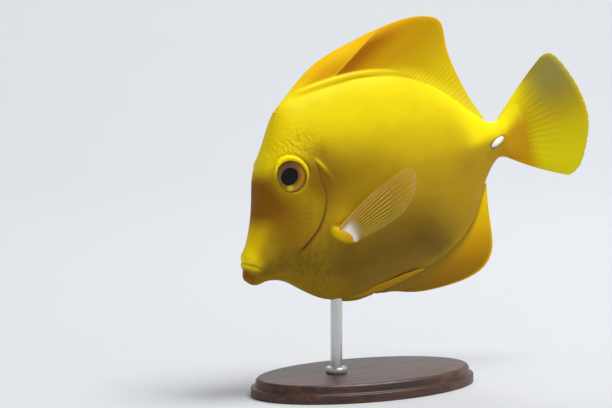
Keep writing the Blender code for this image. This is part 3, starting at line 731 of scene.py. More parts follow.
# How high each kind of unevenness is, and how far across its waves are
WAVES, ROUGH_WAVES = ((0.16, 9.0), (0.03, 2.4)), (0.2, 0.8)
nape = patch(*NAPE)
uneven = np.zeros(len(points))
for index, (point, rough) in enumerate(zip(points, nape)):
    spot = Vector(point)
    uneven[index] = sum(high * noise.noise(spot / size) for high, size in WAVES)
    if rough > 0.05:
        uneven[index] += ROUGH_WAVES[0] * rough * noise.noise(spot / ROUGH_WAVES[1])
still = ramp(along, 6.0, 14.0) * ramp(along, 112.0, 104.0)
push += uneven * still

move_corners(skin, in_the_room(points + normals * push[:, None]))

# %% Values that the skin material reads
# Painted shade on the cheek, behind the eye, on the flank and before the stalk. A patch is its
# strength, its middle along and up, and its reach along and up
PAINTED_SHADE_PATCHES = (
    (0.7, 17.5, 2.0, 7.5, 9.0),
    (0.8, 34.0, 11.5, 8.5, 10.5),
    (0.55, 28.4, 14.0, 3.0, 5.0),
    (0.3, 35.0, 20.0, 4.0, 3.5),
    (0.5, 46.0, 10.0, 10.0, 8.0),
    (0.3, 92.0, -3.0, 6.0, 5.0),
)
low_back = belly_at(along)
height_share = np.clip((up - low_back) / np.maximum(back_at(along) - low_back, 1), 0, 1)
# The painted shade of the low flank grows lighter towards the tail
lighter = 0.4 * ramp(along, 62.0, 88.0) * np.clip(1 - height_share / 0.5, 0, 1)
lighter += 0.06 * ramp(along, 58.0, 70.0) * bump(height_share - 0.58, 0.12)

above = above_gape(along, up)
# Painted highlights on the lips, and painted shade on the chin
upper_lip_highlight = 0.6 * ramp(along, 7.0, 3.0) * ramp(above, -0.2, 0.8)
lower_lip_highlight = 0.6 * ramp(along, 5.8, 3.2) * bump(above + 0.9, 0.6)
chin = ramp(along, 3.8, 1.4) * ramp(above, -1.6, -2.8)
# Painted light on the forehead, the front of the head and the rear of the belly's edge
forehead_light = ramp(along, 32.0, 22.0) * ramp(up, 17.0, 23.0)
profile = ramp(along, 20.0, 8.0) * ramp(height_share, 0.45, 0.85)
belly_edge_light = ramp(height_share, 0.08, 0.0) * ramp(along, 60.0, 75.0)
# A painted highlight on the front of the lobe
lobe_front_highlight = 0.45 * np.sqrt(lobe) * ramp(along, 37.0, 31.5)
# Painted shade under the brow
under_brow_shade = ramp(up, 22.5, 15.0) * ramp(up, 0.0, 8.0) * ramp(along, 23.0, 13.0)

# Painted highlights on the eye's rim, the lips, lobe, shoulder bone, forehead and stalk top
bright = rim_glow + upper_lip_highlight + lower_lip_highlight + lobe_front_highlight + shoulder_glow + 0.45 * forehead_light
bright += stalk_bright(along, up)
# Gold is the own colour of the lobe and the muscle, and painted light elsewhere on the head and
# belly
gold = 0.5 * profile + 0.35 * patch(*MUSCLE) + 0.7 * np.sqrt(lobe) + 0.3 * belly_edge_light
gold += 0.5 * forehead_light + 0.5 * upper_lip_highlight
painted_shade = sum(strength * patch(*place) for strength, *place in PAINTED_SHADE_PATCHES)
skin_values = {
    "painted_gill_shadow": painted_gill_shadow,
    "grain": nape + 0.2 * ramp(along, 36.0, 26.0),
    "bright": bright,
    # Painted shade on the chin and behind the top of the gill cover
    "painted_warm_shade": 0.55 * chin + 0.3 * patch(32.5, 9.5, 2.2, 5.5),
    # Painted shade under the brow, and on the cheek below the eye
    "brown": 0.97 * under_brow_shade + 0.35 * patch(17.0, 1.0, 9.0, 9.0),
    "painted_shade": np.minimum(painted_shade, 0.9),
    "gold": gold,
    "stalk": stalk_gold(along, up),
}
for name, values in skin_values.items():
    print(name, "from", round(float(values.min()), 2), "to", round(float(values.max()), 2))
    keep_values(skin, name, np.clip(values, 0, 1))
keep_values(skin, "height", height_share + lighter)

close_and_face_out(skin)
finish_piece(
    skin,
    skin_material,
    ("head", "gill_cover_left", "gill_cover_right", "trunk", "tail_stalk"),
)

# %% [markdown]
# ## Eyes
#
# The eye sits behind its rim of skin: a brown-gold iris, a thin gold ring, and a pupil so dark
# that it looks black, all under a clear wet cornea. A ball with a painted pupil would look flat
# from the side, so the iris is a shallow dome, the pupil bulges from it as the real lens does, and
# the cornea is a clear shell over both.

# %% Eye materials
# From the middle of the pupil, whose edge is at 0.5, to the edge of the eye
IRIS_COLOURS = (
    (0.0, "020206"),
    (0.485, "030308"),
    (0.51, "C09A30"),
    (0.55, "A06A14"),
    (0.64, "D0921A"),
    (0.74, "E8A814"),
    (0.84, "CC961C"),
    (0.95, "B07C20"),
)
# The middle of a painted glint on the iris's gold layer, its brightest spot, where the pupil's edge
# is 1 away from its middle
GLINT = (-0.25, -1.22, 0.0)


def make_iris():
    """Wet iris and pupil. On the UV map the pupil's edge is 1 away from the middle."""
    material, tree, shader = new_material(
        "wet_iris", {"Roughness": 0.4, "IOR": 1.4, "Specular IOR Level": 0.0}
    )
    disc = add_node(tree, "UVMap", uv_map="UVMap")
    fibres = add_node(
        tree, "TexNoise", {"Vector": disc, "Scale": 3.0, "Detail": 4.0, "Roughness": 0.6}
    )
    uneven = add_node(tree, "Math", (fibres, 0.5), operation="SUBTRACT")
    uneven = add_node(tree, "Math", (uneven, 0.12), operation="MULTIPLY")
    rings = add_node(tree, "VectorMath", (disc,), "Value", operation="LENGTH")
    rings = add_node(tree, "Math", (rings, uneven), operation="ADD")
    rings = add_node(tree, "Math", (rings, 0.5), operation="MULTIPLY")
    outside = add_node(tree, "Math", (rings, 0.5), operation="GREATER_THAN")
    # Painted shade on the upper half of the iris, where the fold of skin over the eye shades it
    upper = add_node(tree, "SeparateXYZ", (disc,), "Y")
    upper = add_node(tree, "Math", (upper, 0.55), operation="MULTIPLY", use_clamp=True)
    glint = add_node(tree, "VectorMath", (disc, GLINT), "Value", operation="DISTANCE")
    glint = add_node(tree, "Math", (glint, 3.2), operation="MULTIPLY")
    glint = add_node(tree, "Math", (1.6, glint), operation="SUBTRACT", use_clamp=True)
    # Both the shade above and the glint below are painted, on the iris only
    shade, shine = (
        add_node(tree, "Math", (strength, outside), operation="MULTIPLY")
        for strength in (upper, glint)
    )
    colour = add_node(tree, "ValToRGB", {"Fac": rings}, stops=IRIS_COLOURS)
    relief = add_node(tree, "Bump", {"Strength": 0.3, "Distance": 0.1 * MM, "Height": fibres})
    layers = ((shade, "8A5A50"), (shine, "FFE828"))
    feed(shader, {"Base Color": lay_colours(tree, colour, layers), "Normal": relief})
    return material


def make_cornea():
    """A clear wet shell. It mirrors a little, most towards its edge, and hides nothing."""
    material, tree, shader = new_material(
        "clear_cornea", {"Roughness": 0.03, "Metallic": 1.0, "Base Color": "D8D8D8"}
    )
    feed(shader, {"Alpha": add_node(tree, "Fresnel", {"IOR": 1.376})})
    return material


iris_material, cornea_material = make_iris(), make_cornea()

# %% Model both eyes
# Each layer's radius, how deep its rim is sunk, and how far it bulges to the front and the back
IRIS_RADIUS, IRIS_SUNK, IRIS_DOME, IRIS_BACK = 5.3, 0.6, 0.5, 3.0
CORNEA_RADIUS, CORNEA_SUNK, CORNEA_DOME, CORNEA_BACK = 5.1, 0.35, 1.3, 2.4
# The pupil is a slanting oval, a little in front of the middle of the eye
PUPIL_LONG, PUPIL_TALL, PUPIL_BULGE = 3.15, 2.75, 0.4
PUPIL_FORWARD, PUPIL_LIFT, PUPIL_TILT = 0.65, 0.2, math.radians(25)


def add_ball(name, segments, rings):
    """A ball of radius 1, whose poles are at its top and bottom."""
    bpy.ops.object.select_all(action="DESELECT")
    bpy.ops.mesh.primitive_uv_sphere_add(segments=segments, ring_count=rings, radius=1)
    return newest(name)


def from_pupil(disc):
    """Places on the eye's disc as seen from the pupil, whose edge is then 1 away."""
    long_way, tall_way = turned(disc[:, 0] + PUPIL_FORWARD, disc[:, 1] - PUPIL_LIFT, PUPIL_TILT)
    # Turned back again, so that up on the map is up on the fish
    return np.stack(turned(long_way / PUPIL_LONG, tall_way / PUPIL_TALL, -PUPIL_TILT), axis=1)


def seat_in_eye(disc, height, side):
    """Points at places on the eye's disc, in millimetres back and up, and over its plane."""
    middle, out, back, up = eye_frame(side)
    return middle + disc[:, :1] * back + disc[:, 1:] * up + height[:, None] * out


for side, label in ((-1, "left"), (1, "right")):
    iris = add_ball("iris_" + label, 96, 64)
    places = corners_of(iris)
    disc = places[:, :2] * IRIS_RADIUS
    front = places[:, 2] > 0
    dome = np.where(front, IRIS_DOME, IRIS_BACK) * places[:, 2] - IRIS_SUNK
    spread = from_pupil(disc)
    lens = PUPIL_BULGE * np.sqrt(np.maximum(0, 1 - (spread**2).sum(1)))
    move_corners(iris, in_the_room(seat_in_eye(disc, dome + np.where(front, lens, 0), side)))
    uvs = iris.data.uv_layers[0].data
    owners = np.empty(len(iris.data.loops), int)
    iris.data.loops.foreach_get("vertex_index", owners)
    uvs.foreach_set("uv", spread[owners].ravel())
    close_and_face_out(iris)
    finish_piece(iris, iris_material, ("eye_" + label,))

    cornea = add_ball("cornea_" + label, 64, 32)
    places = corners_of(cornea)
    dome = np.where(places[:, 2] > 0, CORNEA_DOME, CORNEA_BACK) * places[:, 2] - CORNEA_SUNK
    move_corners(cornea, in_the_room(seat_in_eye(places[:, :2] * CORNEA_RADIUS, dome, side)))
    close_and_face_out(cornea)
    finish_piece(cornea, cornea_material)

# %% [markdown]
# ## Fins
#
# A fin is two skins of membrane over bony rays. Each ray is one rod at its root, forks on the way
# out, and forks again near the margin. The membrane between is thinner than paper. One grid makes
# the middle surface of each fin, and Solidify gives it a wall whose thickness follows the rays, so
# that the ridges stand in the fin's own surface on both faces.

# %% Fin materials
# The share of the way out where the rim's colour begins
RIM_START = 0.93


def make_fin(name, web_codes, ray_codes, rim_code, zones=(), web_alpha=1.0, ray_alpha=1.0):
    """Membrane between rays. Its colours run from the first ray to the last, at equal steps.

    Each zone is the name of a value kept on the fin, and the colour that lies there.
    """
    material, tree, shader = new_material(
        name,
        {
            "Roughness": 0.45,
            "IOR": 1.45,
            "Specular IOR Level": 0.08,
            "Subsurface Weight": 0.2,
            "Subsurface Scale": 0.001,
        },
    )
    place = add_node(tree, "TexCoord", output="Object")
    out, across = (
        add_node(tree, "Attribute", output="Fac", attribute_name=value)
        for value in ("out", "across")
    )
    web, bone = (
        add_node(
            tree,
            "ValToRGB",
            {"Fac": across},
            stops=[(index / (len(codes) - 1), code) for index, code in enumerate(codes)],
        )
        for codes in (web_codes, ray_codes)
    )
    tone = add_node(tree, "TexNoise", {"Vector": place, "Scale": per_mm(5.0), "Detail": 3.0})
    mottle = add_node(tree, "Math", (tone, 0.3), operation="MULTIPLY")
    rim = add_node(tree, "Math", (out, RIM_START), operation="SUBTRACT", use_clamp=True)
    rim = add_node(tree, "Math", (rim, 12.0), operation="MULTIPLY", use_clamp=True)
    layers = ((mottle, bone), ("ray", bone), *zones, (rim, rim_code))
    feed(shader, {"Base Color": lay_colours(tree, web, layers)})
    if web_alpha == 1:
        joints = add_node(tree, "TexNoise", {"Vector": place, "Scale": per_mm(0.7), "Detail": 1.0})
        relief = add_node(tree, "Bump", {"Strength": 0.3, "Distance": 0.05 * MM, "Height": joints})
        feed(shader, {"Normal": relief})
    else:
        bold, clear = (
            add_node(tree, "Attribute", output="Fac", attribute_name=value)
            for value in ("bold", "clear")
        )
        shown = add_node(tree, "Math", (bold, ray_alpha - web_alpha), operation="MULTIPLY")
        gone = add_node(tree, "Math", (1 - web_alpha, shown), operation="SUBTRACT")
        gone = add_node(tree, "Math", (gone, clear), operation="MULTIPLY")
        left = add_node(tree, "Math", (1.0, gone), operation="SUBTRACT", use_clamp=True)
        feed(shader, {"Alpha": left})
    return material


# %% One builder for every fin
# How far the margin is drawn in between two rays, as a share of their length
SCALLOP = 0.008


def ray_relief(across, out, rays, width, forks):
    """Height of the ray ridges, from 0 on the membrane to 1 on a ray, with two forkings."""
    cell = across * (rays - 1)
    local = np.abs(cell - np.round(cell))
    first = 0.2 * ramp(out, forks, forks + 0.5)
    second = 0.075 * ramp(out, forks + 0.35, 1.02)
    from_ray = np.abs(np.abs(local - first) - second)
    thin = width * (1 - 0.45 * ramp(out, 0.2, 1.0))
    return bump(from_ray, thin)


def build_fin(
    name, rays, per_ray, rows, surface, wall, ray_width=0.17, forks=0.3, sheath=None, calm=None,
    **zones,
):
    """surface(across, out) gives points in millimetres, and wall is (root, ray, web, margin).

    sheath(points) is more thickness in millimetres, and calm(across, out, points) the share of
    the ray ridges that shows. Each zone is a rule like calm, which the material reads by its name.
    """
    fin = add_grid(name, (rays - 1) * per_ray, rows)
    across, out = shares_of(fin)
    relief = ray_relief(across, out, rays, ray_width, forks)
    root, ray, web, margin = wall
    scallop = 1 - SCALLOP * (1 - relief) * ramp(out, 0.8, 1.0)
    points = surface(across, out * scallop)
    if calm:
        relief = relief * calm(across, out, points)
    move_corners(fin, in_the_room(points))
    keep_values(fin, "ray", relief)
    keep_values(fin, "out", out)
    keep_values(fin, "across", across)
    for zone, rule in zones.items():
        keep_values(fin, zone, rule(across, out, points))
    thick = web + (ray - web) * relief * (1 - 0.6 * out)
    thick = thick + (root - thick) * (1 - out) ** 9
    if sheath:
        thick = thick + sheath(points)
    thick = thick * (1 - ramp(out, 0.9, 1.0)) + margin * ramp(out, 0.9, 1.0)
    weights = fin.vertex_groups.new(name="thickness")
    thickest = thick.max()
    for index, value in enumerate(thick / thickest):
        weights.add((index,), float(value), "REPLACE")
    bpy.ops.object.shade_smooth()
    solidify = fin.modifiers.new("Wall", "SOLIDIFY")
    solidify.thickness = thickest * MM
    solidify.offset = 0
    solidify.vertex_group = weights.name
    bpy.ops.object.modifier_apply(modifier=solidify.name)
    fin.vertex_groups.clear()
    return fin


# %% The dorsal and anal fins
# Along at the root, then along and up at the tip
DORSAL = (
    (27.3, 27.3, 36.9),
    (32.5, 43.5, 45.6),
    (38.5, 59.0, 48.8),
    (46.5, 74.0, 50.9),
    (55.5, 85.0, 51.4),
    (65.0, 93.4, 48.6),
    (74.5, 96.4, 43.2),
    (83.5, 97.0, 35.4),
    (92.5, 99.4, 24.6),
    (99.2, 102.6, 15.2),
    (104.0, 106.0, 8.2),
)
ANAL = (
    (46.0, 52.0, -34.6),
    (49.5, 61.0, -39.8),
    (54.5, 73.0, -42.5),
    (61.5, 83.5, -43.2),
    (70.0, 91.4, -41.4),
    (78.0, 95.6, -36.8),
    (85.5, 97.0, -31.0),
    (93.0, 98.2, -22.4),
    (98.4, 100.4, -13.2),
)
# How deep the roots of both are sunk in the body
MEDIAN_SINK = 2.4
# Where the dorsal fin folds over, as a share of its length
CREASE = 0.247
# How many rays each has, their width as a share of their spacing, and how far out they fork
DORSAL_RAYS, ANAL_RAYS, MEDIAN_RAY_WIDTH, MEDIAN_FORKS = 59, 41, 0.2, 0.5


def dorsal_sway(share):
    """The front of the fin leans to the right, and the soft part behind the fold to the left."""
    return 3.4 * bump(share - 0.22, 0.12) - 3.6 * bump(share - 0.47, 0.15)


def anal_sway(share):
    """A slow wave from end to end."""
    return 1.2 * np.sin(2 * math.pi * share)


def median_surface(guides, edge_at, sway):
    """The middle surface of a fin on the back or the belly, its rays evenly spaced at the root."""
    roots = smooth_curve([guide[0] for guide in guides])
    tips = smooth_curve([guide[1:] for guide in guides])
    last = len(guides) - 1
    steps = np.linspace(0, last, 401)
    root_steps = roots(steps)[:, 0]

    def surface(across, out):
        root_along = guides[0][0] + (guides[-1][0] - guides[0][0]) * across
        t = np.interp(root_along, root_steps, steps)
        root = np.stack((root_along, np.zeros(len(across)), edge_at(root_along)), axis=1)
        tip = tips(t)
        tip = np.stack((tip[:, 0], np.zeros(len(across)), tip[:, 1]), axis=1)
        ray = tip - root
        root = root - MEDIAN_SINK * ray / np.linalg.norm(ray, axis=1)[:, None]
        place = root + (tip - root) * out[:, None]
        place[:, 1] += sway(t / last) * out**SWAY_POWER
        return place

    return surface


def over_back(points):
    """How far points of the dorsal fin stand over the back."""
    return points[:, 2] - back_at(points[:, 0])


def dorsal_sheath(points):
    """The scaly fold of skin along the root, which fades at the front and towards the rear."""
    fade = ramp(points[:, 0], 33.0, 42.0) * ramp(points[:, 0], 86.0, 60.0)
    return 1.5 * bump(over_back(points) - 1.4, 0.75) * fade


def dorsal_root(across, out, points):
    """Skin colour at the front and along the sheath, and the pale feet of the rays at the rear."""
    along, over = points[:, 0], over_back(points)
    front = 0.6 * ramp(along, 42.0, 31.0)
    # Painted shade: the groove where the fin meets the body is kept out of the band
    groove = 0.7 * bump(over - 0.2, 0.5) * ramp(along, 32.0, 38.0) * ramp(along, 74.0, 60.0)
    band = (ramp(over, 2.6, 1.6) - groove) * ramp(along, 88.0, 66.0)
    feet = ramp(over, 6.5, 1.0) * ramp(along, 66.0, 84.0) * (0.45 + 0.5 * dorsal_ray(across, out))
    return np.maximum(front, np.maximum(band, feet))


def dorsal_ray(across, out):
    """1 on each of the fin's rays and 0 between them."""
    return ray_relief(across, out, DORSAL_RAYS, MEDIAN_RAY_WIDTH, MEDIAN_FORKS)


def dorsal_shade(across, out, points):
    """The shaded hollow behind the part that leans away, deepest low down."""
    behind = ramp(across, CREASE - 0.006, CREASE + 0.012)
    behind = behind * ramp(across, CREASE + 0.24, CREASE + 0.03)
    low = ramp(over_back(points), 1.3, 2.6) * ramp(out, 1.06, 0.65)
    low = low * (1 - 0.4 * dorsal_ray(across, out))
    before = 0.5 * ramp(across, 0.07, 0.165) * ramp(across, CREASE, CREASE - 0.015)
    return (behind + before * ramp(over_back(points), 10.0, 4.0)) * low


def dorsal_calm(across, out, points):
    """The rays show less at the front, under thick skin."""
    return 0.4 + 0.45 * ramp(points[:, 0], 36.0, 50.0) + 0.15 * ramp(points[:, 0], 70.0, 90.0)


tall_fin_material = make_fin(
    "dorsal_membrane",
    ("F8CC04", "FCC204", "E8AE04", "CC9D01", "D4AC02", "E4CA05", "F0DC30"),
    ("FCD408", "FFD010", "F0B808", "DCB006", "E4C008", "F4DC0C", "F8E850"),
    "EEC404",
    (("shade", "984C02"), ("root", "FFE820")),
)
dorsal = build_fin(
    "dorsal_fin_rays", DORSAL_RAYS, 8, 64, median_surface(DORSAL, back_at, dorsal_sway),
    (2.2, 0.46, 0.3, 0.3), MEDIAN_RAY_WIDTH, MEDIAN_FORKS, dorsal_sheath, dorsal_calm,
    root=dorsal_root, shade=dorsal_shade,
)
finish_piece(dorsal, tall_fin_material, ("dorsal_fin",))


def under_belly(points):
    """How far points of the anal fin hang under the belly."""
    return belly_at(points[:, 0]) - points[:, 2]


def anal_sheath(points):
    """A lower fold of skin than the dorsal fin's."""
    return 1.0 * bump(under_belly(points) - 0.9, 1.1) * ramp(points[:, 0], 88.0, 66.0)


def anal_root(across, out, points):
    """The low flank's brown yellow, which is painted shade, runs out over the root."""
    return 0.9 * ramp(under_belly(points), 6.0 - 3.0 * ramp(points[:, 0], 70.0, 90.0), 0.0)


def anal_calm(across, out, points):
    """Its rays show alike all along."""
    return np.full(across.shape, 0.55)


# Its web and rays darken towards the front, as painted shade under the belly
low_fin_material = make_fin(
    "anal_membrane",
    ("84600E", "906A0C", "A07408", "CA9A04", "FCD804"),
    ("8C660E", "9A700C", "AC7E08", "D4A606", "FFE008"),
    "ECC804",
    (("root", "8C6C1C"),),
)
anal = build_fin(
    "anal_fin_rays", ANAL_RAYS, 8, 48, median_surface(ANAL, belly_at, anal_sway),
    (2.2, 0.42, 0.3, 0.3), MEDIAN_RAY_WIDTH, MEDIAN_FORKS, anal_sheath, anal_calm, root=anal_root,
)
finish_piece(anal, low_fin_material, ("anal_fin",))

# %% The tail fin
# Along and up at the root, then along and up at the tip
TAIL = (
    (109.5, 5.5, 136.6, 22.3),
    (110.2, 4.5, 141.2, 22.0),
    (110.9, 3.2, 145.2, 16.6),
    (111.4, 1.6, 148.2, 9.5),
    (111.6, 0.0, 150.0, 1.8),
    (111.4, -1.6, 149.7, -5.6),
    (110.8, -3.2, 146.5, -12.6),
    (110.0, -4.5, 141.0, -19.8),
    (109.0, -5.6, 134.9, -21.8),
)
TAIL_BOW = 0.9
TAIL_RAYS, TAIL_RAY_WIDTH, TAIL_FORKS = 18, 0.15, 0.3


def tail_surface(across, out):
    """The middle surface of the fan, which bows a little towards its upper and lower edges."""
    row = smooth_curve(TAIL)(across * (len(TAIL) - 1))
    along = row[:, 0] + (row[:, 2] - row[:, 0]) * out
    up = row[:, 1] + (row[:, 3] - row[:, 1]) * out
    up += TAIL_BOW * (1 - 2 * across) ** 3 * np.sin(math.pi * out)
    right = TAIL_SWAY * np.cos(math.pi * across) * out**SWAY_POWER
    return np.stack((along, right, up), axis=1)


def upper_clear(across, out, points):
    """The web is clearest in the upper half, behind the middle of the rays."""
    return ramp(out, 0.35, 0.6) * (0.15 + 0.85 * bump(across - 0.22, 0.2))


def tail_shade(across, out, points):
    """The olive cast of the clear upper web."""
    return 0.9 * ramp(out, 0.35, 0.75) * ramp(across, 0.66, 0.25)


def tail_gold(across, out, points):
    """The stalk's dark gold, which runs on over the root."""
    return stalk_gold(points[:, 0], points[:, 2])


def tail_bright(across, out, points):
    """The stalk's painted highlight, which runs on over the root."""
    return stalk_bright(points[:, 0], points[:, 2])


def tail_calm(across, out, points):
    """The rays show best in the middle of the fin, and fade towards its edges and margin."""
    middle = ramp(across, 0.05, 0.3) * ramp(across, 0.95, 0.7)
    return (0.25 + 0.75 * middle) * (0.25 + 0.75 * ramp(out, 0.75, 0.45))


def ray_itself(across, out, points):
    """The rays, which are less clear than the web and fade towards the margin."""
    return ray_relief(across, out, TAIL_RAYS, TAIL_RAY_WIDTH, TAIL_FORKS) * ramp(out, 0.9, 0.5)


# The web and rays are lightest along the upper edge, in part as a painted highlight
tail_material = make_fin(
    "tail_membrane",
    ("FCEA06", "D2BE04", "BEA204", "BEA602", "C8B802", "D4C602", "C8BA02"),
    ("FCEC08", "DAC608", "CEB208", "CCB404", "D0C004", "D8CA04", "CCBE04"),
    "CCC008",
    (("shade", "8A8024"), ("gold", STALK_GOLD), ("bright", HIGHLIGHT_YELLOW)),
    0.78,
)
tail = build_fin(
    "tail_fin_rays", TAIL_RAYS, 18, 56, tail_surface, (1.2, 0.5, 0.3, 0.3), TAIL_RAY_WIDTH,
    TAIL_FORKS, calm=tail_calm, clear=upper_clear, bold=ray_itself, shade=tail_shade,
    gold=tail_gold, bright=tail_bright,
)
finish_piece(tail, tail_material, ("tail_fin",))

# %% [markdown]
# ## Paired fins
#
# The pectoral fin is the tang's oar: a clear fan on a yellow, fleshy root, swept back beside the
# body. Through its membrane the flank shows. The pelvic fins lie folded under the belly as two
# narrow strips. Both follow the flank at a small distance, so that they sit right from above too.

# %% Pectoral and pelvic fins
# Root, then tip, each as along, out from the flank, up
PECTORAL = (
    ((33.6, 1.2, -5.4), (58.0, 4.8, 5.4)),
    ((34.0, 1.2, -6.8), (63.0, 5.2, 5.8)),
    ((34.8, 1.2, -8.2), (64.2, 5.2, 1.4)),
    ((35.8, 1.2, -9.5), (61.6, 4.8, -4.0)),
    ((37.0, 1.2, -10.7), (56.2, 4.3, -8.1)),
    ((38.2, 1.2, -12.0), (48.4, 3.5, -10.3)),
)
PELVIC = (
    ((34.6, 1.3, -31.8), (65.6, 1.6, -32.6)),
    ((35.8, 1.0, -31.5), (64.6, 1.3, -32.1)),
    ((37.0, 0.8, -31.3), (61.4, 1.0, -31.6)),
    ((38.2, 0.6, -31.1), (56.0, 0.7, -31.2)),
)
OAR_RAYS, OAR_RAY_WIDTH, OAR_FORKS = 15, 0.17, 0.4


def paired_surface(guides, side, sink, bow):
    """A fin beside the flank. Its first ray bows up, or down where bow is below 0, the next less."""
    roots = smooth_curve([root for root, _ in guides])
    tips = smooth_curve([tip for _, tip in guides])
    last = len(guides) - 1

    def surface(across, out):
        root, tip = roots(across * last), tips(across * last)
        root[:, 1] -= sink
        place = root + (tip - root) * out[:, None]
        place[:, 2] += bow * (1 - across) ** 2 * np.sin(math.pi * out)
        away = root[:, 1] + (tip[:, 1] - root[:, 1]) * (1 - (1 - out) ** 2)
        place[:, 1] = side * (flank_at(place[:, 0], place[:, 2]) + away)
        return place

    return surface


def oar_clear(across, out, points):
    """The fin is clear all over but at its root, and mostly so even there along its first rays."""
    return np.maximum(ramp(out, 0.04, 0.16), 0.7 * ramp(across, 0.3, 0.05))


def oar_root(across, out, points):
    """The pale, pinkish feet of the rays along the lobe."""
    return ramp(out, 0.2, 0.05) * ramp(across, 0.0, 0.3) * ramp(across, 1.2, 0.7)


def oar_bold(across, out, points):
    """How boldly the rays show: strong near the root, faint towards their tips and the last ray."""
    ray = ray_relief(across, out, OAR_RAYS, OAR_RAY_WIDTH, OAR_FORKS)
    fade = ramp(out, 0.72, 0.42) * ramp(across, 1.05, 0.7)
    return np.maximum(ray * fade, 0.1 * ramp(out, 0.95, 1.0))


clear_material = make_fin(
    "clear_membrane",
    ("A87C60", "8C6850", "745C50", "786054", "9C8470"),
    ("F4CC48", "F0C428", "ECC818", "ECD020", "E0C848"),
    "C8A880",
    (("root", "FFF2EC"),),
    0.23,
    0.78,
)
belly_fin_material = make_fin(
    "pelvic_membrane", ("A87A0A", "B4860A"), ("B4860C", "C0920C"), "C0920C"
)
for side, label in ((-1, "left"), (1, "right")):
    pectoral = build_fin(
        "pectoral_fin_rays_" + label, OAR_RAYS, 14, 56, paired_surface(PECTORAL, side, 0.2, 1.7),
        (1.3, 0.5, 0.16, 0.2), OAR_RAY_WIDTH, OAR_FORKS,
        clear=oar_clear, root=oar_root, bold=oar_bold,
    )
    finish_piece(pectoral, clear_material, ("pectoral_fin_" + label,))
    pelvic = build_fin(
        "pelvic_fin_rays_" + label, 6, 12, 40, paired_surface(PELVIC, side, 1.8, -1.6),
        (1.2, 0.5, 0.3, 0.3),
    )
    finish_piece(pelvic, belly_fin_material, ("pelvic_fin_" + label,))

# %% [markdown]
# ## Tail spines
#
# The white blade on each side of the tail stalk gives the surgeonfishes their name. It lies in a
# groove with its free tip forward. It is horn, so it is satin and slightly warm in its shade.

# %% Spines


def make_horn():
    """Horn, grown in thin layers: white, satin, and a little light goes into it."""
    material, tree, shader = new_material(
        "white_horn",
        {"Roughness": 0.32, "IOR": 1.54, "Subsurface Weight": 0.15, "Subsurface Scale": 0.001},
    )
    place = add_node(tree, "TexCoord", output="Object")
    growth = add_node(tree, "TexNoise", {"Vector": place, "Scale": per_mm(1.2), "Detail": 3.0})
    white = add_node(tree, "ValToRGB", {"Fac": growth}, stops=((0.3, "E6E0EE"), (0.7, "FFFFFF")))
    relief = add_node(tree, "Bump", {"Strength": 0.2, "Distance": 0.05 * MM, "Height": growth})
    feed(shader, {"Base Color": white, "Normal": relief})
    return material


horn_material = make_horn()
# Half its thickness, how far its middle lies outside the flank, and its share of the groove
SPINE_THICK, SPINE_PROUD, SPINE_FILL = 0.9, 0.2, 0.97
for side, label in ((-1, "left"), (1, "right")):
    blade = add_ball("tail_spine_blade_" + label, 40, 24)
    places = corners_of(blade)
    # The ball's poles become the two ends, and the front end is drawn to a point
    long_way = -places[:, 2]
    taper = np.where(long_way < 0, 1 - 0.35 * long_way**2, 1.0)
    tall = places[:, 0] * SPINE_TALL * taper
    along, up = turned(SPINE_LONG * SPINE_FILL * long_way, tall, -SPINE_TILT)
    along, up = along + SPINE_ALONG, up + SPINE_UP
    out = flank_at(along, up) + SPINE_PROUD + places[:, 1] * SPINE_THICK
    move_corners(blade, in_the_room(np.stack((along, side * out, up), axis=1)))
    close_and_face_out(blade)
    finish_piece(blade, horn_material, ("tail_spine_" + label,))

# %% [markdown]
# ## Stand
#
# A museum holds such a fish on one slim steel rod over an oval wooden base. The base could be the
# plain solid, but a turned edge catches the light as real woodwork does: a square foot, a small
# step, and a rounded top edge, cut by inset, extrude and bevel.

# %% Stand materials


def make_walnut():
    """Walnut, turned and waxed: dark brown, with long grain and a soft shine."""
    material, tree, shader = new_material("waxed_walnut", {"IOR": 1.5})
    place = add_node(tree, "TexCoord", output="Object")
    long_way = add_node(tree, "Mapping", {"Vector": place, "Scale": (0.12, 1.0, 1.0)})
    grain = add_node(
        tree,
        "TexNoise",
        {
            "Vector": long_way,
            "Scale": per_mm(2.6),
            "Detail": 6.0,
            "Roughness": 0.65,
            "Distortion": 0.6,
        },
    )
    pores = add_node(tree, "TexNoise", {"Vector": long_way, "Scale": per_mm(0.5), "Detail": 2.0})
    wood = add_node(
        tree, "ValToRGB", {"Fac": grain}, stops=((0.3, "26140C"), (0.5, "4A2A18"), (0.7, "6A4226"))
    )
    dark, rough = (
        add_node(tree, "Math", (pores, share), operation="MULTIPLY") for share in (0.3, 0.25)
    )
    rough = add_node(tree, "Math", (rough, 0.28), operation="ADD")
    relief = add_node(tree, "Bump", {"Strength": 0.25, "Distance": 0.1 * MM, "Height": pores})
    colour = lay_colours(tree, wood, ((dark, "1C0E08"),))
    feed(shader, {"Base Color": colour, "Roughness": rough, "Normal": relief})
    return material


def make_steel():
    """Stainless steel, brushed along the rod, which draws its highlights into soft streaks."""
    material, tree, shader = new_material(
        "brushed_stainless_steel", {"Metallic": 1.0, "Base Color": "C9C8C4"}
    )
    place = add_node(tree, "TexCoord", output="Object")
    streaks = add_node(tree, "Mapping", {"Vector": place, "Scale": (1.0, 1.0, 0.03)})
    brush = add_node(tree, "TexNoise", {"Vector": streaks, "Scale": per_mm(0.25), "Detail": 2.0})
    rough = add_node(tree, "Math", (brush, 0.2), operation="MULTIPLY")
    rough = add_node(tree, "Math", (rough, 0.2), operation="ADD")
    relief = add_node(tree, "Bump", {"Strength": 0.15, "Distance": 0.02 * MM, "Height": brush})
    feed(shader, {"Roughness": rough, "Normal": relief})
    return material


walnut_material, steel_material = make_walnut(), make_steel()

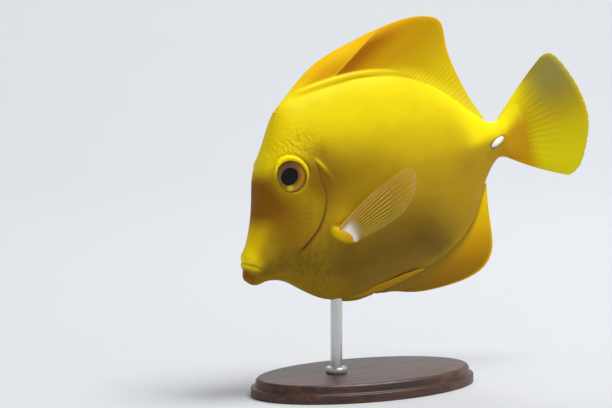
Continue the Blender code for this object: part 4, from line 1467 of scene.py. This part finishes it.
# %% The base
base_low, base_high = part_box("stand_base")
rod_low, rod_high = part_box("stand_rod")
base_size = base_high - base_low


def add_cylinder(name, vertices, radius, low, high, middle=(0, 0)):
    """A cylinder from one height to another, its place kept in its mesh."""
    bpy.ops.object.select_all(action="DESELECT")
    place = (middle[0], middle[1], (low + high) / 2)
    bpy.ops.mesh.primitive_cylinder_add(
        vertices=vertices, radius=radius, depth=high - low, location=place
    )
    bpy.ops.object.transform_apply(location=True, rotation=True, scale=True)
    return newest(name)


def select_top(piece, height):
    """In edit mode, selects what faces up at this height."""
    bpy.ops.mesh.select_all(action="DESELECT")
    bpy.ops.object.mode_set(mode="OBJECT")
    for face in piece.data.polygons:
        face.select = abs(face.center.z - height) < 1e-5 and face.normal.z > 0.9
    bpy.ops.object.mode_set(mode="EDIT")


FOOT_HEIGHT, FOOT_EDGE, TOP_INSET, TOP_ROUND = 3.0 * MM, 0.5 * MM, 1.6 * MM, 1.4 * MM
base = add_cylinder("stand_base_turned", 160, 0.5, 0.0, FOOT_HEIGHT)
bpy.ops.object.mode_set(mode="EDIT")
bpy.ops.mesh.select_mode(type="FACE")
bpy.ops.mesh.select_all(action="SELECT")
bpy.ops.transform.resize(value=(base_size.x, base_size.y, 1.0))
select_top(base, FOOT_HEIGHT)
bpy.ops.mesh.inset(thickness=TOP_INSET, use_boundary=True)
# Of the top face and the ring round it, both level, only the face goes on
step = base_size.z - FOOT_HEIGHT
bpy.ops.mesh.extrude_region_move(TRANSFORM_OT_translate={"value": (0, 0, step)})


def round_rim(piece, height, width, segments):
    """Bevels the outer rim of the level face that lies at this height."""
    select_top(piece, height)
    bpy.ops.mesh.region_to_loop()
    bpy.ops.mesh.bevel(offset=width, segments=segments, affect="EDGES")


round_rim(base, base_size.z, TOP_ROUND, 6)
round_rim(base, FOOT_HEIGHT, FOOT_EDGE, 3)
bpy.ops.object.mode_set(mode="OBJECT")
bpy.ops.object.shade_smooth_by_angle(angle=math.radians(35))
print("base", [round(v, 4) for v in base.dimensions], "of", [round(v, 4) for v in base_size])
finish_piece(base, walnut_material, ("stand_base",))

# %% The rod and its collar
ROD_SUNK, COLLAR_SUNK = 1.0 * MM, 0.2 * MM
COLLAR_RADIUS, COLLAR_HEIGHT = 3.6 * MM, 2.4 * MM
rod_middle = (rod_low + rod_high) / 2
rod_radius = (rod_high.x - rod_low.x) / 2
# Sunk into the base below and the belly above
rod = add_cylinder(
    "stand_rod_steel", 64, rod_radius, base_high.z - ROD_SUNK, rod_high.z + ROD_SUNK, rod_middle
)
bpy.ops.object.shade_smooth_by_angle(angle=math.radians(40))
finish_piece(rod, steel_material, ("stand_rod",))

collar_foot = base_high.z - COLLAR_SUNK
collar = add_cylinder(
    "stand_collar", 64, COLLAR_RADIUS, collar_foot, collar_foot + COLLAR_HEIGHT, rod_middle
)
bevel = collar.modifiers.new("Rounded edges", "BEVEL")
bevel.width = 0.7 * MM
bevel.segments = 5
bevel.angle_limit = math.radians(40)
bpy.ops.object.modifier_apply(modifier=bevel.name)
bpy.ops.object.shade_smooth_by_angle(angle=math.radians(30))
finish_piece(collar, steel_material)

# %% [markdown]
# ## Room, light and camera
#
# A pale floor that curves up all round fills the view from every side, as a photographer's paper
# does. The main light is a large soft one overhead, because the fish was lit from above.

# %% Floor
FLOOR_SIZE, FLAT_RADIUS, FLOOR_RISE = 5.0, 0.9, 0.9
floor = add_grid("floor", 64, 64)
places = corners_of(floor) * FLOOR_SIZE
from_middle = np.hypot(places[:, 0], places[:, 1])
places[:, 2] = FLOOR_RISE * np.maximum(0, from_middle - FLAT_RADIUS) ** 2
move_corners(floor, places)
bpy.ops.object.shade_smooth()
floor_material, _, _ = new_material(
    "pale_matt_floor", {"Roughness": 0.9, "Base Color": "C8CACD"}
)
floor.data.materials.append(floor_material)

# %% Lights


def add_softbox(name, place, aim, size, power):
    """A square soft light, its size in metres and its power in watts."""
    bpy.ops.object.light_add(type="AREA", location=place)
    lamp = bpy.context.object
    lamp.name = name
    lamp.data.size = size
    lamp.data.energy = power
    lamp.rotation_mode = "QUATERNION"
    lamp.rotation_quaternion = (Vector(aim) - Vector(place)).to_track_quat("-Z", "Y")
    return lamp


FISH_MIDDLE = (0.01, 0.0, 0.07)
lamps = (
    add_softbox("overhead_light", (0.70, -0.45, 2.0), FISH_MIDDLE, 1.0, 45.0),
    add_softbox("rear_light", (0.6, 1.2, 1.4), FISH_MIDDLE, 0.8, 8.0),
)
print("lights:", [lamp.name for lamp in lamps])

world = bpy.data.worlds.new("soft_room")
bpy.context.scene.world = world
world.use_nodes = True
feed(world.node_tree.nodes["Background"], {"Color": "E4E6EA", "Strength": 0.4})
bpy.context.scene.view_settings.view_transform = "Standard"

# %% Camera
CAMERA_AZIMUTH, CAMERA_HEIGHT_ANGLE = math.radians(-30), math.radians(5)
CAMERA_DISTANCE, LENS, SENSOR = 0.5615, 100, 36
# What the camera looks at, behind and over the tip of the snout
AIM_FROM_SNOUT = Vector((24.15, 0, 20.75)) * MM
aim = Vector(in_the_room(SNOUT_TIP)[0]) + AIM_FROM_SNOUT
back = Vector(
    (
        math.sin(CAMERA_AZIMUTH) * math.cos(CAMERA_HEIGHT_ANGLE),
        -math.cos(CAMERA_AZIMUTH) * math.cos(CAMERA_HEIGHT_ANGLE),
        math.sin(CAMERA_HEIGHT_ANGLE),
    )
)
bpy.ops.object.camera_add(location=aim + back * CAMERA_DISTANCE)
camera = bpy.context.object
camera.data.lens = LENS
camera.data.sensor_width = SENSOR
camera.rotation_mode = "QUATERNION"
camera.rotation_quaternion = (-back).to_track_quat("-Z", "Y")
bpy.context.scene.camera = camera
print("camera at", [round(v, 3) for v in camera.location])
